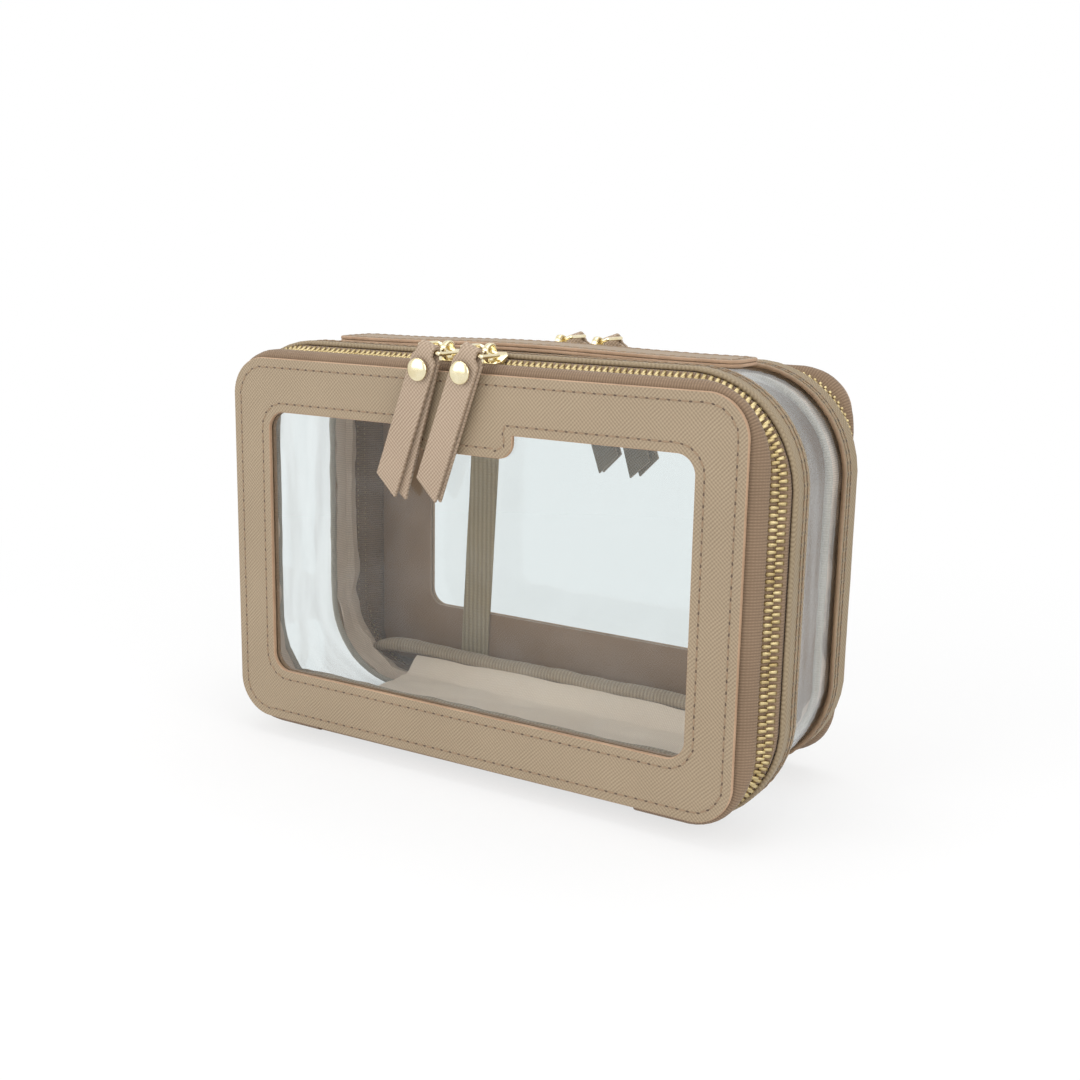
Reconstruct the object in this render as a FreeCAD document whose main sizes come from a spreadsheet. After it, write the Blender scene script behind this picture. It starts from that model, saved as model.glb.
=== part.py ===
import FreeCAD, Part
import math
import os
import re
import Sketcher
from FreeCAD import Placement, Rotation, Vector

os.makedirs("parts", exist_ok=True)
doc = FreeCAD.newDocument("MakeupTrainCase")

# Sizes in millimetres and degrees. A depth is measured inwards from the outer face of a door.
sizes = {
    # doors: leather frame, clear pane, backing
    "case_depth": 94.0,
    "panel_width": 217.0,
    "panel_height": 144.0,
    "panel_radius": 15.0,
    "front_window_width": 181.0,
    "front_window_height": 103.0,
    "rear_window_width": 160.0,
    "rear_window_height": 84.0,
    "window_radius": 7.0,
    "tab_width": 42.0,
    "tab_height": 16.0,
    "tab_drop": 8.4,
    "tab_radius": 6.0,
    "frame_thickness": 1.8,
    "pane_thickness": 0.5,
    "pane_overlap": 6.0,
    "backing_thickness": 1.6,
    "backing_inset": 2.5,
    "layer_gap": 0.05,
    # gussets and the clear band between them
    "front_bulge": 11.5,
    "rear_bulge": 8.5,
    "front_crown": 6.4,
    "rear_crown": 4.6,
    "gusset_radius": 40.0,
    "gusset_start": 14.0,
    "gusset_width": 12.0,
    "gusset_thickness": 2.0,
    "gusset_roll": 0.8,
    "clear_thickness": 0.6,
    "clear_overlap": 6.0,
    # zip
    "tape_inset": 0.6,
    "seam_clearance": 0.4,
    "tape_thickness": 0.8,
    "bevel_end": 12.5,
    "chain_depth": 9.9,
    "chain_width": 3.9,
    "chain_gap": 0.3,
    "chain_rise": 0.8,
    "chain_end_gap": 1.0,
    "chain_cut_height": 14.0,
    # linings, floor, base and hinge strips
    "lining_start": 15.6,
    "lining_width": 14.4,
    "lining_inset": 3.0,
    "lining_thickness": 1.2,
    "piping_radius": 1.3,
    "piping_inset": 4.6,
    "base_length": 144.0,
    "base_margin": 20.0,
    "base_thickness": 1.6,
    "base_radius": 6.0,
    "floor_length": 150.0,
    "floor_thickness": 1.4,
    "floor_bend": 27.0,
    "floor_edge": 19.6,
    "floor_rise": 7.4,
    "binding_radius": 3.2,
    "binding_depth": 17.0,
    "binding_rise": 11.4,
    "binding_length": 198.0,
    "hinge_length": 140.0,
    "hinge_depth": 5.0,
    "hinge_height": 6.0,
    "hinge_bead": 0.9,
    "hinge_thickness": 1.6,
    # elastic strap on the rear door
    "strap_width": 14.0,
    "strap_thickness": 1.0,
    "strap_shift": 52.0,
    "strap_margin": 6.0,
    # carrying handle
    "handle_length": 174.0,
    "handle_span": 144.0,
    "handle_width": 22.0,
    "handle_layer": 1.3,
    "handle_rise": 1.2,
    # sliders, rings, pulls and rivets
    "front_slider_left": -12.0,
    "front_slider_right": 6.0,
    "rear_slider_left": -5.5,
    "rear_slider_right": 11.5,
    "slider_length": 12.0,
    "slider_width": 8.4,
    "slider_plate": 1.2,
    "slider_clearance": 0.25,
    "slider_lip": 0.8,
    "arch_width": 2.2,
    "arch_span": 6.4,
    "arch_leg": 1.0,
    "arch_crown": 0.9,
    "arch_room": 1.4,
    "pivot_rise": 2.75,
    "ring_wire": 0.75,
    "ring_width": 9.0,
    "ring_corner": 1.0,
    "bar_standoff": 3.3,
    "lean_degrees": 20.0,
    "pull_width": 10.5,
    "pull_length": 53.0,
    "pull_layer": 1.6,
    "pull_gap": 0.6,
    "pull_taper": 3.4,
    "pull_cut": 5.0,
    "neck_width": 6.6,
    "neck_length": 2.6,
    "loop_play": 0.2,
    "rivet_drop": 7.5,
    "rivet_radius": 4.2,
    "rivet_dome": 1.4,
    "rivet_shank": 1.5,
    "rivet_back": 3.0,
    "rivet_back_height": 0.6,
}

sheet = doc.addObject("Spreadsheet::Sheet", "Dims")
for row, (alias, size) in enumerate(sizes.items(), start=1):
    sheet.set(f"A{row}", alias)
    sheet.set(f"B{row}", str(size))
    sheet.setAlias(f"B{row}", alias)
doc.recompute()
probe = doc.addObject("Part::Box", "probe")
nodes = {}


def bound(text):
    return re.sub(r"[a-z_]+", lambda word: "Dims." * (word.group(0) in sizes) + word.group(0), text)


def number(text):
    return float(probe.evalExpression(bound(text)))


def new_body(name, height="0"):
    body = doc.addObject("PartDesign::Body", name)
    body.setExpression("Placement.Base.z", bound(height))
    nodes[name] = body
    return body


def new_shape(name, shape, placement=None):
    feature = doc.addObject("Part::Feature", name)
    feature.Shape = shape
    if placement:
        feature.Placement = placement
    nodes[name] = feature
    return feature


def new_sketch(body, plane, lift="0", rise="0", shift="0"):
    sketch = body.newObject("Sketcher::SketchObject", body.Name + "_sketch")
    support = next(item for item in body.Origin.OriginFeatures if item.Role == plane)
    sketch.AttachmentSupport = [(support, "")]
    sketch.MapMode = "FlatFace"
    for axis, text in (("x", shift), ("y", rise), ("z", lift)):
        if text != "0":
            sketch.setExpression("AttachmentOffset.Base." + axis, bound(text))
    return sketch


def named(sketch, constraint, name, text):
    index = sketch.addConstraint(constraint)
    sketch.renameConstraint(index, name)
    sketch.setExpression("Constraints." + name, bound(text))


def rounded(sketch, tag, width, height, radius):
    # rectangle about the sketch origin with four tangent corner arcs
    r = number(radius)
    x = number(width) / 2 - r
    y = number(height) / 2 - r
    rule = Sketcher.Constraint
    corners = [(x, y, 0), (x, -y, -90), (-x, -y, 180), (-x, y, 90)]
    ends = [((-x, y + r), (x, y + r)), ((x + r, y), (x + r, -y)),
            ((x, -y - r), (-x, -y - r)), ((-x - r, -y), (-x - r, y))]
    lines = []
    arcs = []
    for begin, stop in ends:
        lines.append(sketch.addGeometry(Part.LineSegment(Vector(*begin, 0), Vector(*stop, 0)), False))
    for cx, cy, turn in corners:
        circle = Part.Circle(Vector(cx, cy, 0), Vector(0, 0, 1), r)
        arc = Part.ArcOfCircle(circle, math.radians(turn), math.radians(turn + 90))
        arcs.append(sketch.addGeometry(arc, False))
    for i in range(4):
        sketch.addConstraint(rule("Tangent", lines[i], 2, arcs[i], 2))
        sketch.addConstraint(rule("Tangent", arcs[i], 1, lines[(i + 1) % 4], 1))
        sketch.addConstraint(rule("Vertical" if i % 2 else "Horizontal", lines[i]))
        if i:
            sketch.addConstraint(rule("Equal", arcs[0], arcs[i]))
    sketch.addConstraint(rule("Symmetric", arcs[0], 3, arcs[2], 3, -1, 1))
    named(sketch, rule("DistanceX", lines[3], 1, lines[1], 1, 2 * (x + r)), tag + "_width", width)
    named(sketch, rule("DistanceY", lines[2], 1, lines[0], 1, 2 * (y + r)), tag + "_height", height)
    named(sketch, rule("Radius", arcs[0], r), tag + "_radius", radius)


def profile(sketch, points, arcs=None):
    # closed chain through bound points; arcs maps a span to its radius, negative where it bends right
    arcs = arcs or {}
    rule = Sketcher.Constraint
    spots = [Vector(number(across), number(up), 0) for across, up in points]
    count = len(spots)
    spans = []
    for i in range(count):
        begin = spots[i]
        stop = spots[(i + 1) % count]
        if i not in arcs:
            spans.append((sketch.addGeometry(Part.LineSegment(begin, stop), False), 1, 2))
            continue
        radius = number(arcs[i][0])
        side = arcs[i][1]
        chord = stop - begin
        reach = math.sqrt(max(radius ** 2 - (chord.Length / 2) ** 2, 0))
        normal = Vector(-chord.y, chord.x, 0).normalize()
        centre = (begin + stop) * 0.5 + normal * (reach * side)
        first = begin - centre
        last = stop - centre
        if side < 0:
            first, last = last, first
        circle = Part.Circle(centre, Vector(0, 0, 1), radius)
        arc = Part.ArcOfCircle(circle, math.atan2(first.y, first.x), math.atan2(last.y, last.x))
        index = sketch.addGeometry(arc, False)
        spans.append((index, 1, 2) if side > 0 else (index, 2, 1))
        named(sketch, rule("Radius", index, radius), f"radius_{i}", arcs[i][0])
    for i in range(count):
        index, begin_end, stop_end = spans[i]
        before = spans[i - 1]
        sketch.addConstraint(rule("Coincident", before[0], before[2], index, begin_end))
        named(sketch, rule("DistanceX", -1, 1, index, begin_end, spots[i].x), f"across_{i}", points[i][0])
        named(sketch, rule("DistanceY", -1, 1, index, begin_end, spots[i].y), f"up_{i}", points[i][1])


def pad(body, sketch, length, middle=False):
    feature = body.newObject("PartDesign::Pad", body.Name + "_pad")
    feature.Profile = sketch
    feature.setExpression("Length", bound(length))
    feature.Midplane = middle
    return feature


def pocket(body, sketch, length):
    feature = body.newObject("PartDesign::Pocket", body.Name + "_pocket")
    feature.Profile = sketch
    feature.setExpression("Length", bound(length))
    feature.Midplane = True
    return feature


def plane_lift(end, depth):
    return f"case_depth / 2 - ({depth})" if end == "front" else f"({depth}) - case_depth / 2"


def ring_pad(body, end, near, far, outer, inner=None, rise="0", shift="0"):
    sketch = new_sketch(body, "XZ_Plane", plane_lift(end, far if end == "front" else near), rise, shift)
    rounded(sketch, "outer", *outer)
    if inner:
        rounded(sketch, "inner", *inner)
    return pad(body, sketch, f"({far}) - ({near})")


def ring_loft(body, end, near, far, near_outline, far_outline, kind):
    sketches = []
    for depth, shape in ((near, near_outline), (far, far_outline)):
        sketch = new_sketch(body, "XZ_Plane", plane_lift(end, depth))
        rounded(sketch, "outer", *shape)
        sketches.append(sketch)
    doc.recompute()
    loft = body.newObject("PartDesign::" + kind, body.Name + "_loft")
    loft.Profile = sketches[0]
    loft.Sections = [sketches[1]]
    loft.Ruled = True
    return loft


def panel_outline(inset):
    return (f"panel_width - 2 * ({inset})", f"panel_height - 2 * ({inset})", f"panel_radius - ({inset})")


def window_outline(end):
    return (f"{end}_window_width", f"{end}_window_height", "window_radius")


def pane_outline(end, out):
    reach = f"2 * (pane_overlap + {out})"
    wide, high, corner = window_outline(end)
    return (f"{wide} + {reach}", f"{high} + {reach}", f"{corner} + pane_overlap / 2 + {out}")


def crown_outline(end, inset):
    width = f"panel_width + 2 * {end}_bulge - 2 * ({inset})"
    height = f"panel_height + 2 * {end}_crown - 2 * ({inset})"
    return (width, height, f"gusset_radius - ({inset})")


def bevel_outline(end, depth, out):
    # the zip tape leans from the door's edge out to the underside of the gusset
    start = "(frame_thickness + pane_thickness)"
    part = f"((({depth}) - {start}) / (bevel_end - {start}))"
    grow = "gusset_thickness - layer_gap + tape_inset"
    width = f"panel_width - 2 * tape_inset + 2 * ({end}_bulge - {grow}) * {part} + 2 * ({out})"
    height = f"panel_height - 2 * tape_inset + 2 * ({end}_crown - {grow}) * {part} + 2 * ({out})"
    door_corner = "(panel_radius - tape_inset)"
    crown_corner = "gusset_radius - gusset_thickness - layer_gap"
    radius = f"{door_corner} + ({crown_corner} - {door_corner}) * {part} + ({out})"
    return (width, height, radius)


def cut_bottom(body):
    # the zip stops at both ends of the hinge strip
    half = "(hinge_length / 2 + chain_end_gap)"
    top = "chain_cut_height - panel_height / 2"
    sketch = new_sketch(body, "XZ_Plane")
    corners = [("-" + half, "-panel_height"), (half, "-panel_height"), (half, top), ("-" + half, top)]
    profile(sketch, corners)
    pocket(body, sketch, "3 * case_depth")


def on_outline(point, outline):
    width, height, radius = (number(text) for text in outline)
    across = abs(point.x) - (width / 2 - radius)
    up = abs(point.z) - (height / 2 - radius)
    outside = math.hypot(max(across, 0), max(up, 0)) + min(max(across, up), 0)
    return abs(outside - radius) < 0.02


def loop_path(width, height, radius):
    x = width / 2 - radius
    y = height / 2 - radius
    edges = []
    spots = [(x, y, 0), (-x, y, 90), (-x, -y, 180), (x, -y, 270)]
    for i, (cx, cy, turn) in enumerate(spots):
        circle = Part.Circle(Vector(cx, cy, 0), Vector(0, 0, 1), radius)
        arc = Part.ArcOfCircle(circle, math.radians(turn), math.radians(turn + 90))
        nx, ny, heading = spots[(i + 1) % 4]
        ahead = Vector(radius * math.cos(math.radians(heading)), radius * math.sin(math.radians(heading)), 0)
        edges.append(arc.toShape())
        edges.append(Part.LineSegment(arc.EndPoint, Vector(nx, ny, 0) + ahead).toShape())
    return Part.Wire(edges)


def wire_loop(width, height, radius, thickness):
    path = loop_path(width, height, radius)
    start = Vector(width / 2, height / 2 - radius, 0)
    circle = Part.Wire(Part.makeCircle(thickness, start, Vector(0, 1, 0)))
    return path.makePipeShell([circle], True, True)


centre_height = "base_thickness + front_crown + panel_height / 2"
pane_back = "frame_thickness + pane_thickness"
backing_back = f"{pane_back} + backing_thickness"
row_near = "chain_depth - chain_width / 2"
row_far = "chain_depth + chain_width / 2"
floor_low = "(base_thickness + front_crown - rear_crown + piping_inset + piping_radius + layer_gap)"

for end in ("front", "rear"):
    frame = new_body(end + "_frame", centre_height)
    ring_pad(frame, end, "0", "frame_thickness", panel_outline("0"), window_outline(end))
    if end == "front":
        tab_rise = "front_window_height / 2 + tab_height / 2 - tab_drop"
        tab_outline = ("tab_width", "tab_height", "tab_radius")
        ring_pad(frame, end, "0", "frame_thickness", tab_outline, None, tab_rise)

    pane = new_body(end + "_window", centre_height)
    ring_pad(pane, end, "frame_thickness + layer_gap", pane_back, pane_outline(end, "0"))

    backing = new_body(end + "_backing", centre_height)
    ring_pad(backing, end, f"{pane_back} + layer_gap", backing_back, panel_outline("backing_inset"),
             window_outline(end))

    tape = new_body(end + "_tape_panel", centre_height)
    tape_far = f"{row_near} - layer_gap"
    ring_pad(tape, end, "frame_thickness + layer_gap", pane_back, panel_outline("tape_inset"),
             pane_outline(end, "seam_clearance"))
    ring_loft(tape, end, pane_back, tape_far, bevel_outline(end, pane_back, "0"),
              bevel_outline(end, tape_far, "0"), "AdditiveLoft")
    ring_loft(tape, end, f"{pane_back} - layer_gap", tape_far,
              bevel_outline(end, f"{pane_back} - layer_gap", "-tape_thickness"),
              bevel_outline(end, tape_far, "-tape_thickness"), "SubtractiveLoft")
    cut_bottom(tape)

    rows = {
        "_teeth_panel": (row_near, "chain_depth - chain_gap / 2"),
        "_teeth_case": ("chain_depth + chain_gap / 2", row_far),
    }
    for suffix, (near, far) in rows.items():
        row = new_body(end + suffix, centre_height)
        sunk = "-tape_thickness - chain_rise"
        ring_loft(row, end, near, far, bevel_outline(end, near, "chain_rise"),
                  bevel_outline(end, far, "chain_rise"), "AdditiveLoft")
        ring_loft(row, end, near, far, bevel_outline(end, near, sunk),
                  bevel_outline(end, far, sunk), "SubtractiveLoft")
        cut_bottom(row)

    case_tape = new_body(end + "_tape_case", centre_height)
    case_near = f"{row_far} + layer_gap"
    under = "gusset_thickness + layer_gap"
    flange_far = "gusset_start + gusset_width - clear_overlap - layer_gap"
    ring_loft(case_tape, end, case_near, "bevel_end", bevel_outline(end, case_near, "0"),
              bevel_outline(end, "bevel_end", "0"), "AdditiveLoft")
    ring_pad(case_tape, end, "bevel_end", flange_far, crown_outline(end, under))
    ring_loft(case_tape, end, case_near, "bevel_end", bevel_outline(end, case_near, "-clear_thickness"),
              bevel_outline(end, "bevel_end", "-clear_thickness"), "SubtractiveLoft")
    hollow = new_sketch(case_tape, "XZ_Plane", plane_lift(end, "bevel_end" if end == "front" else flange_far))
    rounded(hollow, "inner", *crown_outline(end, f"{under} + clear_thickness"))
    core = case_tape.newObject("PartDesign::Pocket", end + "_tape_core")
    core.Profile = hollow
    core.setExpression("Length", bound(f"{flange_far} - bevel_end"))
    cut_bottom(case_tape)

    gusset = new_body(end + "_gusset", centre_height)
    gusset_far = "gusset_start + gusset_width"
    outer = crown_outline(end, "0")
    band = ring_pad(gusset, end, "gusset_start", gusset_far, outer, crown_outline(end, "gusset_thickness"))
    doc.recompute()
    rolled = []
    for index, edge in enumerate(band.Shape.Edges, start=1):
        middle = edge.valueAt((edge.FirstParameter + edge.LastParameter) / 2)
        flat = edge.BoundBox.YLength < 0.01
        if flat and on_outline(middle, outer):
            rolled.append(f"Edge{index}")
    roll = gusset.newObject("PartDesign::Fillet", end + "_gusset_roll")
    roll.Base = (band, rolled)
    roll.setExpression("Radius", bound("gusset_roll"))

    lining = new_body(end + "_lining", centre_height)
    ring_pad(lining, end, "lining_start", "lining_start + lining_width", crown_outline(end, "lining_inset"),
             crown_outline(end, "lining_inset + lining_thickness"))

    width, height, radius = (number(text) for text in crown_outline(end, "piping_inset"))
    depth = number("lining_start + lining_width + layer_gap + piping_radius - case_depth / 2")
    upright = Rotation(Vector(1, 0, 0), 90)
    spot = Vector(0, depth if end == "front" else -depth, number(centre_height))
    new_shape(end + "_lining_piping", wire_loop(width, height, radius, number("piping_radius")),
              Placement(spot, upright))

    # leather hinge strip under the door, its bead on the hinge line
    face = number("-case_depth / 2")
    bead = Vector(0, face + number("hinge_depth"), number("hinge_height"))
    edge = face + number("gusset_start - layer_gap")
    sole = number(f"{centre_height} - panel_height / 2 - {end}_crown + layer_gap")
    heel = [Vector(0, edge, sole), Vector(0, edge, sole + number("hinge_thickness"))]
    along = (bead - (heel[0] + heel[1]) * 0.5).normalize()
    across = Vector(0, along.z, -along.y) * number("hinge_bead")
    corners = [heel[0], heel[1], bead + across, bead - across, heel[0]]
    if (bead + across).z < (bead - across).z:
        corners = [heel[0], heel[1], bead - across, bead + across, heel[0]]
    length = number("hinge_length")
    strip = Part.Face(Part.makePolygon(corners)).extrude(Vector(length, 0, 0))
    roll = Part.makeCylinder(number("hinge_bead"), length, bead, Vector(1, 0, 0))
    strip = strip.fuse(roll).removeSplitter()
    strip.translate(Vector(-length / 2, 0, 0))
    if end == "rear":
        strip.rotate(Vector(0, 0, 0), Vector(0, 0, 1), 180)
    new_shape(end + "_hinge", strip)

    binding = new_body(end + "_binding")
    tube = new_sketch(binding, "YZ_Plane")
    side = "-" if end == "front" else ""
    rule = Sketcher.Constraint
    centre = (f"{side}(case_depth / 2 - binding_depth)", f"{floor_low} + binding_rise")
    hub = Vector(number(centre[0]), number(centre[1]), 0)
    tube.addGeometry(Part.Circle(hub, Vector(0, 0, 1), number("binding_radius")), False)
    named(tube, rule("Radius", 0, number("binding_radius")), "radius", "binding_radius")
    named(tube, rule("DistanceX", -1, 1, 0, 3, hub.x), "across", centre[0])
    named(tube, rule("DistanceY", -1, 1, 0, 3, hub.y), "up", centre[1])
    pad(binding, tube, "binding_length", True)

# clear band: straight where it runs under each gusset, easing from the front bulge to the rear bulge between
clear = new_body("clear_gusset", centre_height)
under = "gusset_thickness + layer_gap"
inside = f"{under} + clear_thickness"
lap_near = "gusset_start + gusset_width - clear_overlap"
lap_far = "gusset_start + gusset_width"
rear_far = f"case_depth - ({lap_far})"
ring_pad(clear, "front", lap_near, lap_far, crown_outline("front", under))
ring_loft(clear, "front", lap_far, rear_far, crown_outline("front", under),
          crown_outline("rear", under), "AdditiveLoft")
ring_pad(clear, "rear", lap_near, lap_far, crown_outline("rear", under))
ring_loft(clear, "front", lap_far, rear_far, crown_outline("front", inside),
          crown_outline("rear", inside), "SubtractiveLoft")
for end in ("front", "rear"):
    hollow = new_sketch(clear, "XZ_Plane", plane_lift(end, lap_near if end == "front" else lap_far))
    rounded(hollow, "inner", *crown_outline(end, inside))
    core = clear.newObject("PartDesign::Pocket", "clear_core")
    core.Profile = hollow
    core.setExpression("Length", bound("clear_overlap"))

base = new_body("base_panel")
foot = new_sketch(base, "XY_Plane")
rounded(foot, "outer", "base_length", "case_depth - 2 * base_margin", "base_radius")
pad(base, foot, "base_thickness")

# floor lining: flat in the middle, its long edges turned up to the bound seams
floor = new_body("floor_lining")
lip = "(case_depth / 2 - floor_edge)"
bend = "(case_depth / 2 - floor_bend)"
rim_up = f"{floor_low} + floor_rise"
under_side = [("-" + lip, rim_up), ("-" + bend, floor_low), (bend, floor_low), (lip, rim_up)]
upper_side = [(across, f"{up} + floor_thickness") for across, up in reversed(under_side)]
section = new_sketch(floor, "YZ_Plane")
profile(section, under_side + upper_side)
pad(floor, section, "floor_length", True)

strap = new_body("elastic_strap", centre_height)
strap_near = f"{backing_back} + layer_gap"
strap_outline = ("strap_width", "panel_height - 2 * strap_margin", "strap_thickness")
strap_far = f"{strap_near} + strap_thickness"
ring_pad(strap, "rear", strap_near, strap_far, strap_outline, None, "0", "-strap_shift")

# handle: two layers sewn down near both ends, bowed up between
seat = f"{centre_height} + panel_height / 2 + front_crown - gusset_thickness"
bow = "((handle_span / 2) ^ 2 + handle_rise ^ 2) / (4 * handle_rise)"
arc_marks = [("-handle_length / 2", "0"), ("-handle_span / 2", "0"), ("-handle_span / 4", "handle_rise / 2"),
             ("handle_span / 4", "handle_rise / 2"), ("handle_span / 2", "0"), ("handle_length / 2", "0")]
for name, level in (("handle_lower", "0"), ("handle_upper", "handle_layer + layer_gap")):
    layer = new_body(name, seat)
    lower = [(across, f"{up} + {level}") for across, up in arc_marks]
    upper = [(across, f"{up} + {level} + handle_layer") for across, up in reversed(arc_marks)]
    section = new_sketch(layer, "XZ_Plane")
    bends = {1: (bow, 1), 2: (bow, -1), 3: (bow, 1), 7: (bow, -1), 8: (bow, 1), 9: (bow, -1)}
    profile(section, lower + upper, bends)
    pad(layer, section, "handle_width", True)

# sliders stand on the top run of each zip; the rear end is the front end turned half way round
lean = Rotation(Vector(0, 1, 0), number("lean_degrees"))
turns = {"front": Rotation(), "rear": Rotation(Vector(0, 0, 1), 180)}
plate_low = "chain_rise + slider_clearance"
plate_top = f"{plate_low} + slider_plate"
loop_radius = "ring_wire + loop_play + pull_layer"
half_pull = "(pull_layer + pull_gap / 2)"
through = "4 * (pull_layer + pull_gap + ring_wire)"

for end, turn in turns.items():
    rise = f"{end}_crown - gusset_thickness - layer_gap + tape_inset"
    slope = number(f"({rise}) / (bevel_end - frame_thickness - pane_thickness)")
    tilt = Rotation(Vector(1, 0, 0), math.degrees(math.atan(slope)))
    crest = number(centre_height) + number(bevel_outline(end, "chain_depth", "0")[1]) / 2
    chain_line = Vector(0, number("chain_depth - case_depth / 2"), crest)
    pivot = tilt.multVec(Vector(0, 0, number(f"{plate_top} + pivot_rise")))
    ring_length = (chain_line + pivot).y + number("case_depth / 2 + bar_standoff")
    for side, tail in (("left", -1), ("right", 1)):
        name = f"{end}_{side}_"
        chain_spot = chain_line + Vector(number(f"{end}_slider_{side}"), 0, 0)
        pivot_spot = chain_spot + pivot
        bar_spot = pivot_spot - Vector(0, ring_length, 0)
        half_turn = Placement(Vector(), turn)

        slider = new_body(name + "slider")
        plate = new_sketch(slider, "XY_Plane", plate_low)
        nose = f"{-tail} * slider_length / 2"
        waist = f"{-tail} * slider_length / 5"
        hip = f"{tail} * slider_length / 6"
        rear_tip = f"{tail} * slider_length / 2"
        outline = [(nose, "-slider_width / 3"), (waist, "-slider_width / 2"), (hip, "-slider_width / 2"),
                   (rear_tip, "-slider_width / 5"), (rear_tip, "slider_width / 5"), (hip, "slider_width / 2"),
                   (waist, "slider_width / 2"), (nose, "slider_width / 3")]
        profile(plate, outline)
        pad(slider, plate, "slider_plate")
        for edge_sign in ("-", ""):
            lip = new_sketch(slider, "XY_Plane", "slider_clearance")
            inner = f"{edge_sign}(slider_width / 2 - slider_lip)"
            rim = f"{edge_sign}(slider_width / 2)"
            profile(lip, [(waist, inner), (hip, inner), (hip, rim), (waist, rim)])
            pad(slider, lip, "chain_rise")
        arch = new_sketch(slider, "YZ_Plane")
        half_span = "arch_span / 2"
        room = f"{plate_top} + pivot_rise + arch_room"
        root = f"{plate_top} - slider_plate / 2"
        bay = f"({half_span} - arch_leg)"
        chamfer = f"({half_span} - arch_crown)"
        legs = [(f"-{half_span}", root), (f"-{bay}", root), (f"-{bay}", room), (bay, room), (bay, root),
                (half_span, root), (half_span, room), (chamfer, f"{room} + arch_crown"),
                (f"-{chamfer}", f"{room} + arch_crown"), (f"-{half_span}", room)]
        profile(arch, legs)
        pad(slider, arch, "arch_width", True)
        slider.setExpression("Placement.Base.z", None)
        slider.Placement = half_turn * Placement(chain_spot, tilt)

        loop = wire_loop(number("ring_width"), ring_length, number("ring_corner"), number("ring_wire"))
        ahead = Placement(Vector(0, -ring_length / 2, 0), Rotation())
        new_shape(name + "ring", loop, half_turn * Placement(pivot_spot, lean) * ahead)

        pull = new_body(name + "pull")
        folded = new_sketch(pull, "YZ_Plane")
        fold = [(loop_radius, "0"), ("0", loop_radius), (f"-({loop_radius})", "0"),
                (f"-{half_pull}", "-pull_taper"), (f"-{half_pull}", "-pull_length"),
                (half_pull, "-pull_length"), (half_pull, "-pull_taper")]
        profile(folded, fold, {0: (loop_radius, 1), 1: (loop_radius, 1)})
        pad(pull, folded, "pull_width", True)
        eye = new_sketch(pull, "YZ_Plane")
        hole = number("ring_wire + loop_play")
        eye.addGeometry(Part.Circle(Vector(), Vector(0, 0, 1), hole), False)
        eye.addConstraint(Sketcher.Constraint("Coincident", 0, 3, -1, 1))
        named(eye, Sketcher.Constraint("Radius", 0, hole), "radius", "ring_wire + loop_play")
        pocket(pull, eye, "2 * pull_width")
        slot = new_sketch(pull, "YZ_Plane")
        half_gap = "pull_gap / 2"
        profile(slot, [(f"-{half_gap}", "-ring_wire"), (half_gap, "-ring_wire"),
                       (half_gap, "-pull_length - pull_cut"), (f"-{half_gap}", "-pull_length - pull_cut")])
        pocket(pull, slot, "2 * pull_width")
        for edge_sign in ("-", ""):
            notch = new_sketch(pull, "XZ_Plane")
            inner = f"{edge_sign}neck_width / 2"
            rim = f"{edge_sign}pull_width"
            above = "2 * neck_length"
            profile(notch, [(inner, above), (rim, above), (rim, "-neck_length"), (inner, "-neck_length")])
            pocket(pull, notch, through)
        trim = new_sketch(pull, "XZ_Plane")
        below = "-pull_length - pull_cut"
        profile(trim, [("-pull_width", "-pull_length + 1.5 * pull_cut"), ("pull_width / 2", "-pull_length"),
                       ("pull_width / 2", below), ("-pull_width", below)])
        pocket(pull, trim, through)
        bore = new_sketch(pull, "XZ_Plane")
        shank = number("rivet_shank + layer_gap")
        bore.addGeometry(Part.Circle(Vector(0, number("-rivet_drop"), 0), Vector(0, 0, 1), shank), False)
        bore.addConstraint(Sketcher.Constraint("PointOnObject", 0, 3, -2))
        named(bore, Sketcher.Constraint("Radius", 0, shank), "radius", "rivet_shank + layer_gap")
        drop = number("-rivet_drop")
        named(bore, Sketcher.Constraint("DistanceY", -1, 1, 0, 3, drop), "drop", "-rivet_drop")
        pocket(pull, bore, through)
        pull.setExpression("Placement.Base.z", None)
        pull.Placement = half_turn * Placement(bar_spot, lean)

        rivet = new_body(name + "rivet")
        turned = new_sketch(rivet, "XY_Plane")
        face = f"({half_pull} + layer_gap)"
        dome = "(rivet_radius ^ 2 + rivet_dome ^ 2) / (2 * rivet_dome)"
        spots = [("0", f"-{face} - rivet_dome"), ("rivet_radius", f"-{face}"), ("rivet_shank", f"-{face}"),
                 ("rivet_shank", face), ("rivet_back", face), ("rivet_back", f"{face} + rivet_back_height"),
                 ("0", f"{face} + rivet_back_height")]
        profile(turned, spots, {0: (dome, 1)})
        spin = rivet.newObject("PartDesign::Revolution", name + "rivet_spin")
        spin.Profile = turned
        spin.ReferenceAxis = (turned, ["V_Axis"])
        spin.Angle = 360
        rivet.setExpression("Placement.Base.z", None)
        rivet.Placement = half_turn * Placement(bar_spot + lean.multVec(Vector(0, 0, drop)), lean)

doc.recompute()
broken = []
for item in doc.Objects:
    if "Invalid" in item.State or "Error" in item.State:
        broken.append(item.Name)
for name, item in nodes.items():
    if item.Shape.isNull() or not item.Shape.isValid() or len(item.Shape.Solids) != 1:
        broken.append(name)
if broken:
    raise SystemExit("not built: " + ", ".join(broken))
for name, item in nodes.items():
    item.Shape.exportStep(f"parts/{name}.step")
print(len(nodes), "nodes written")
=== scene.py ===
import math
import bmesh
import bpy
from mathutils import Matrix, Vector, noise


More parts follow.
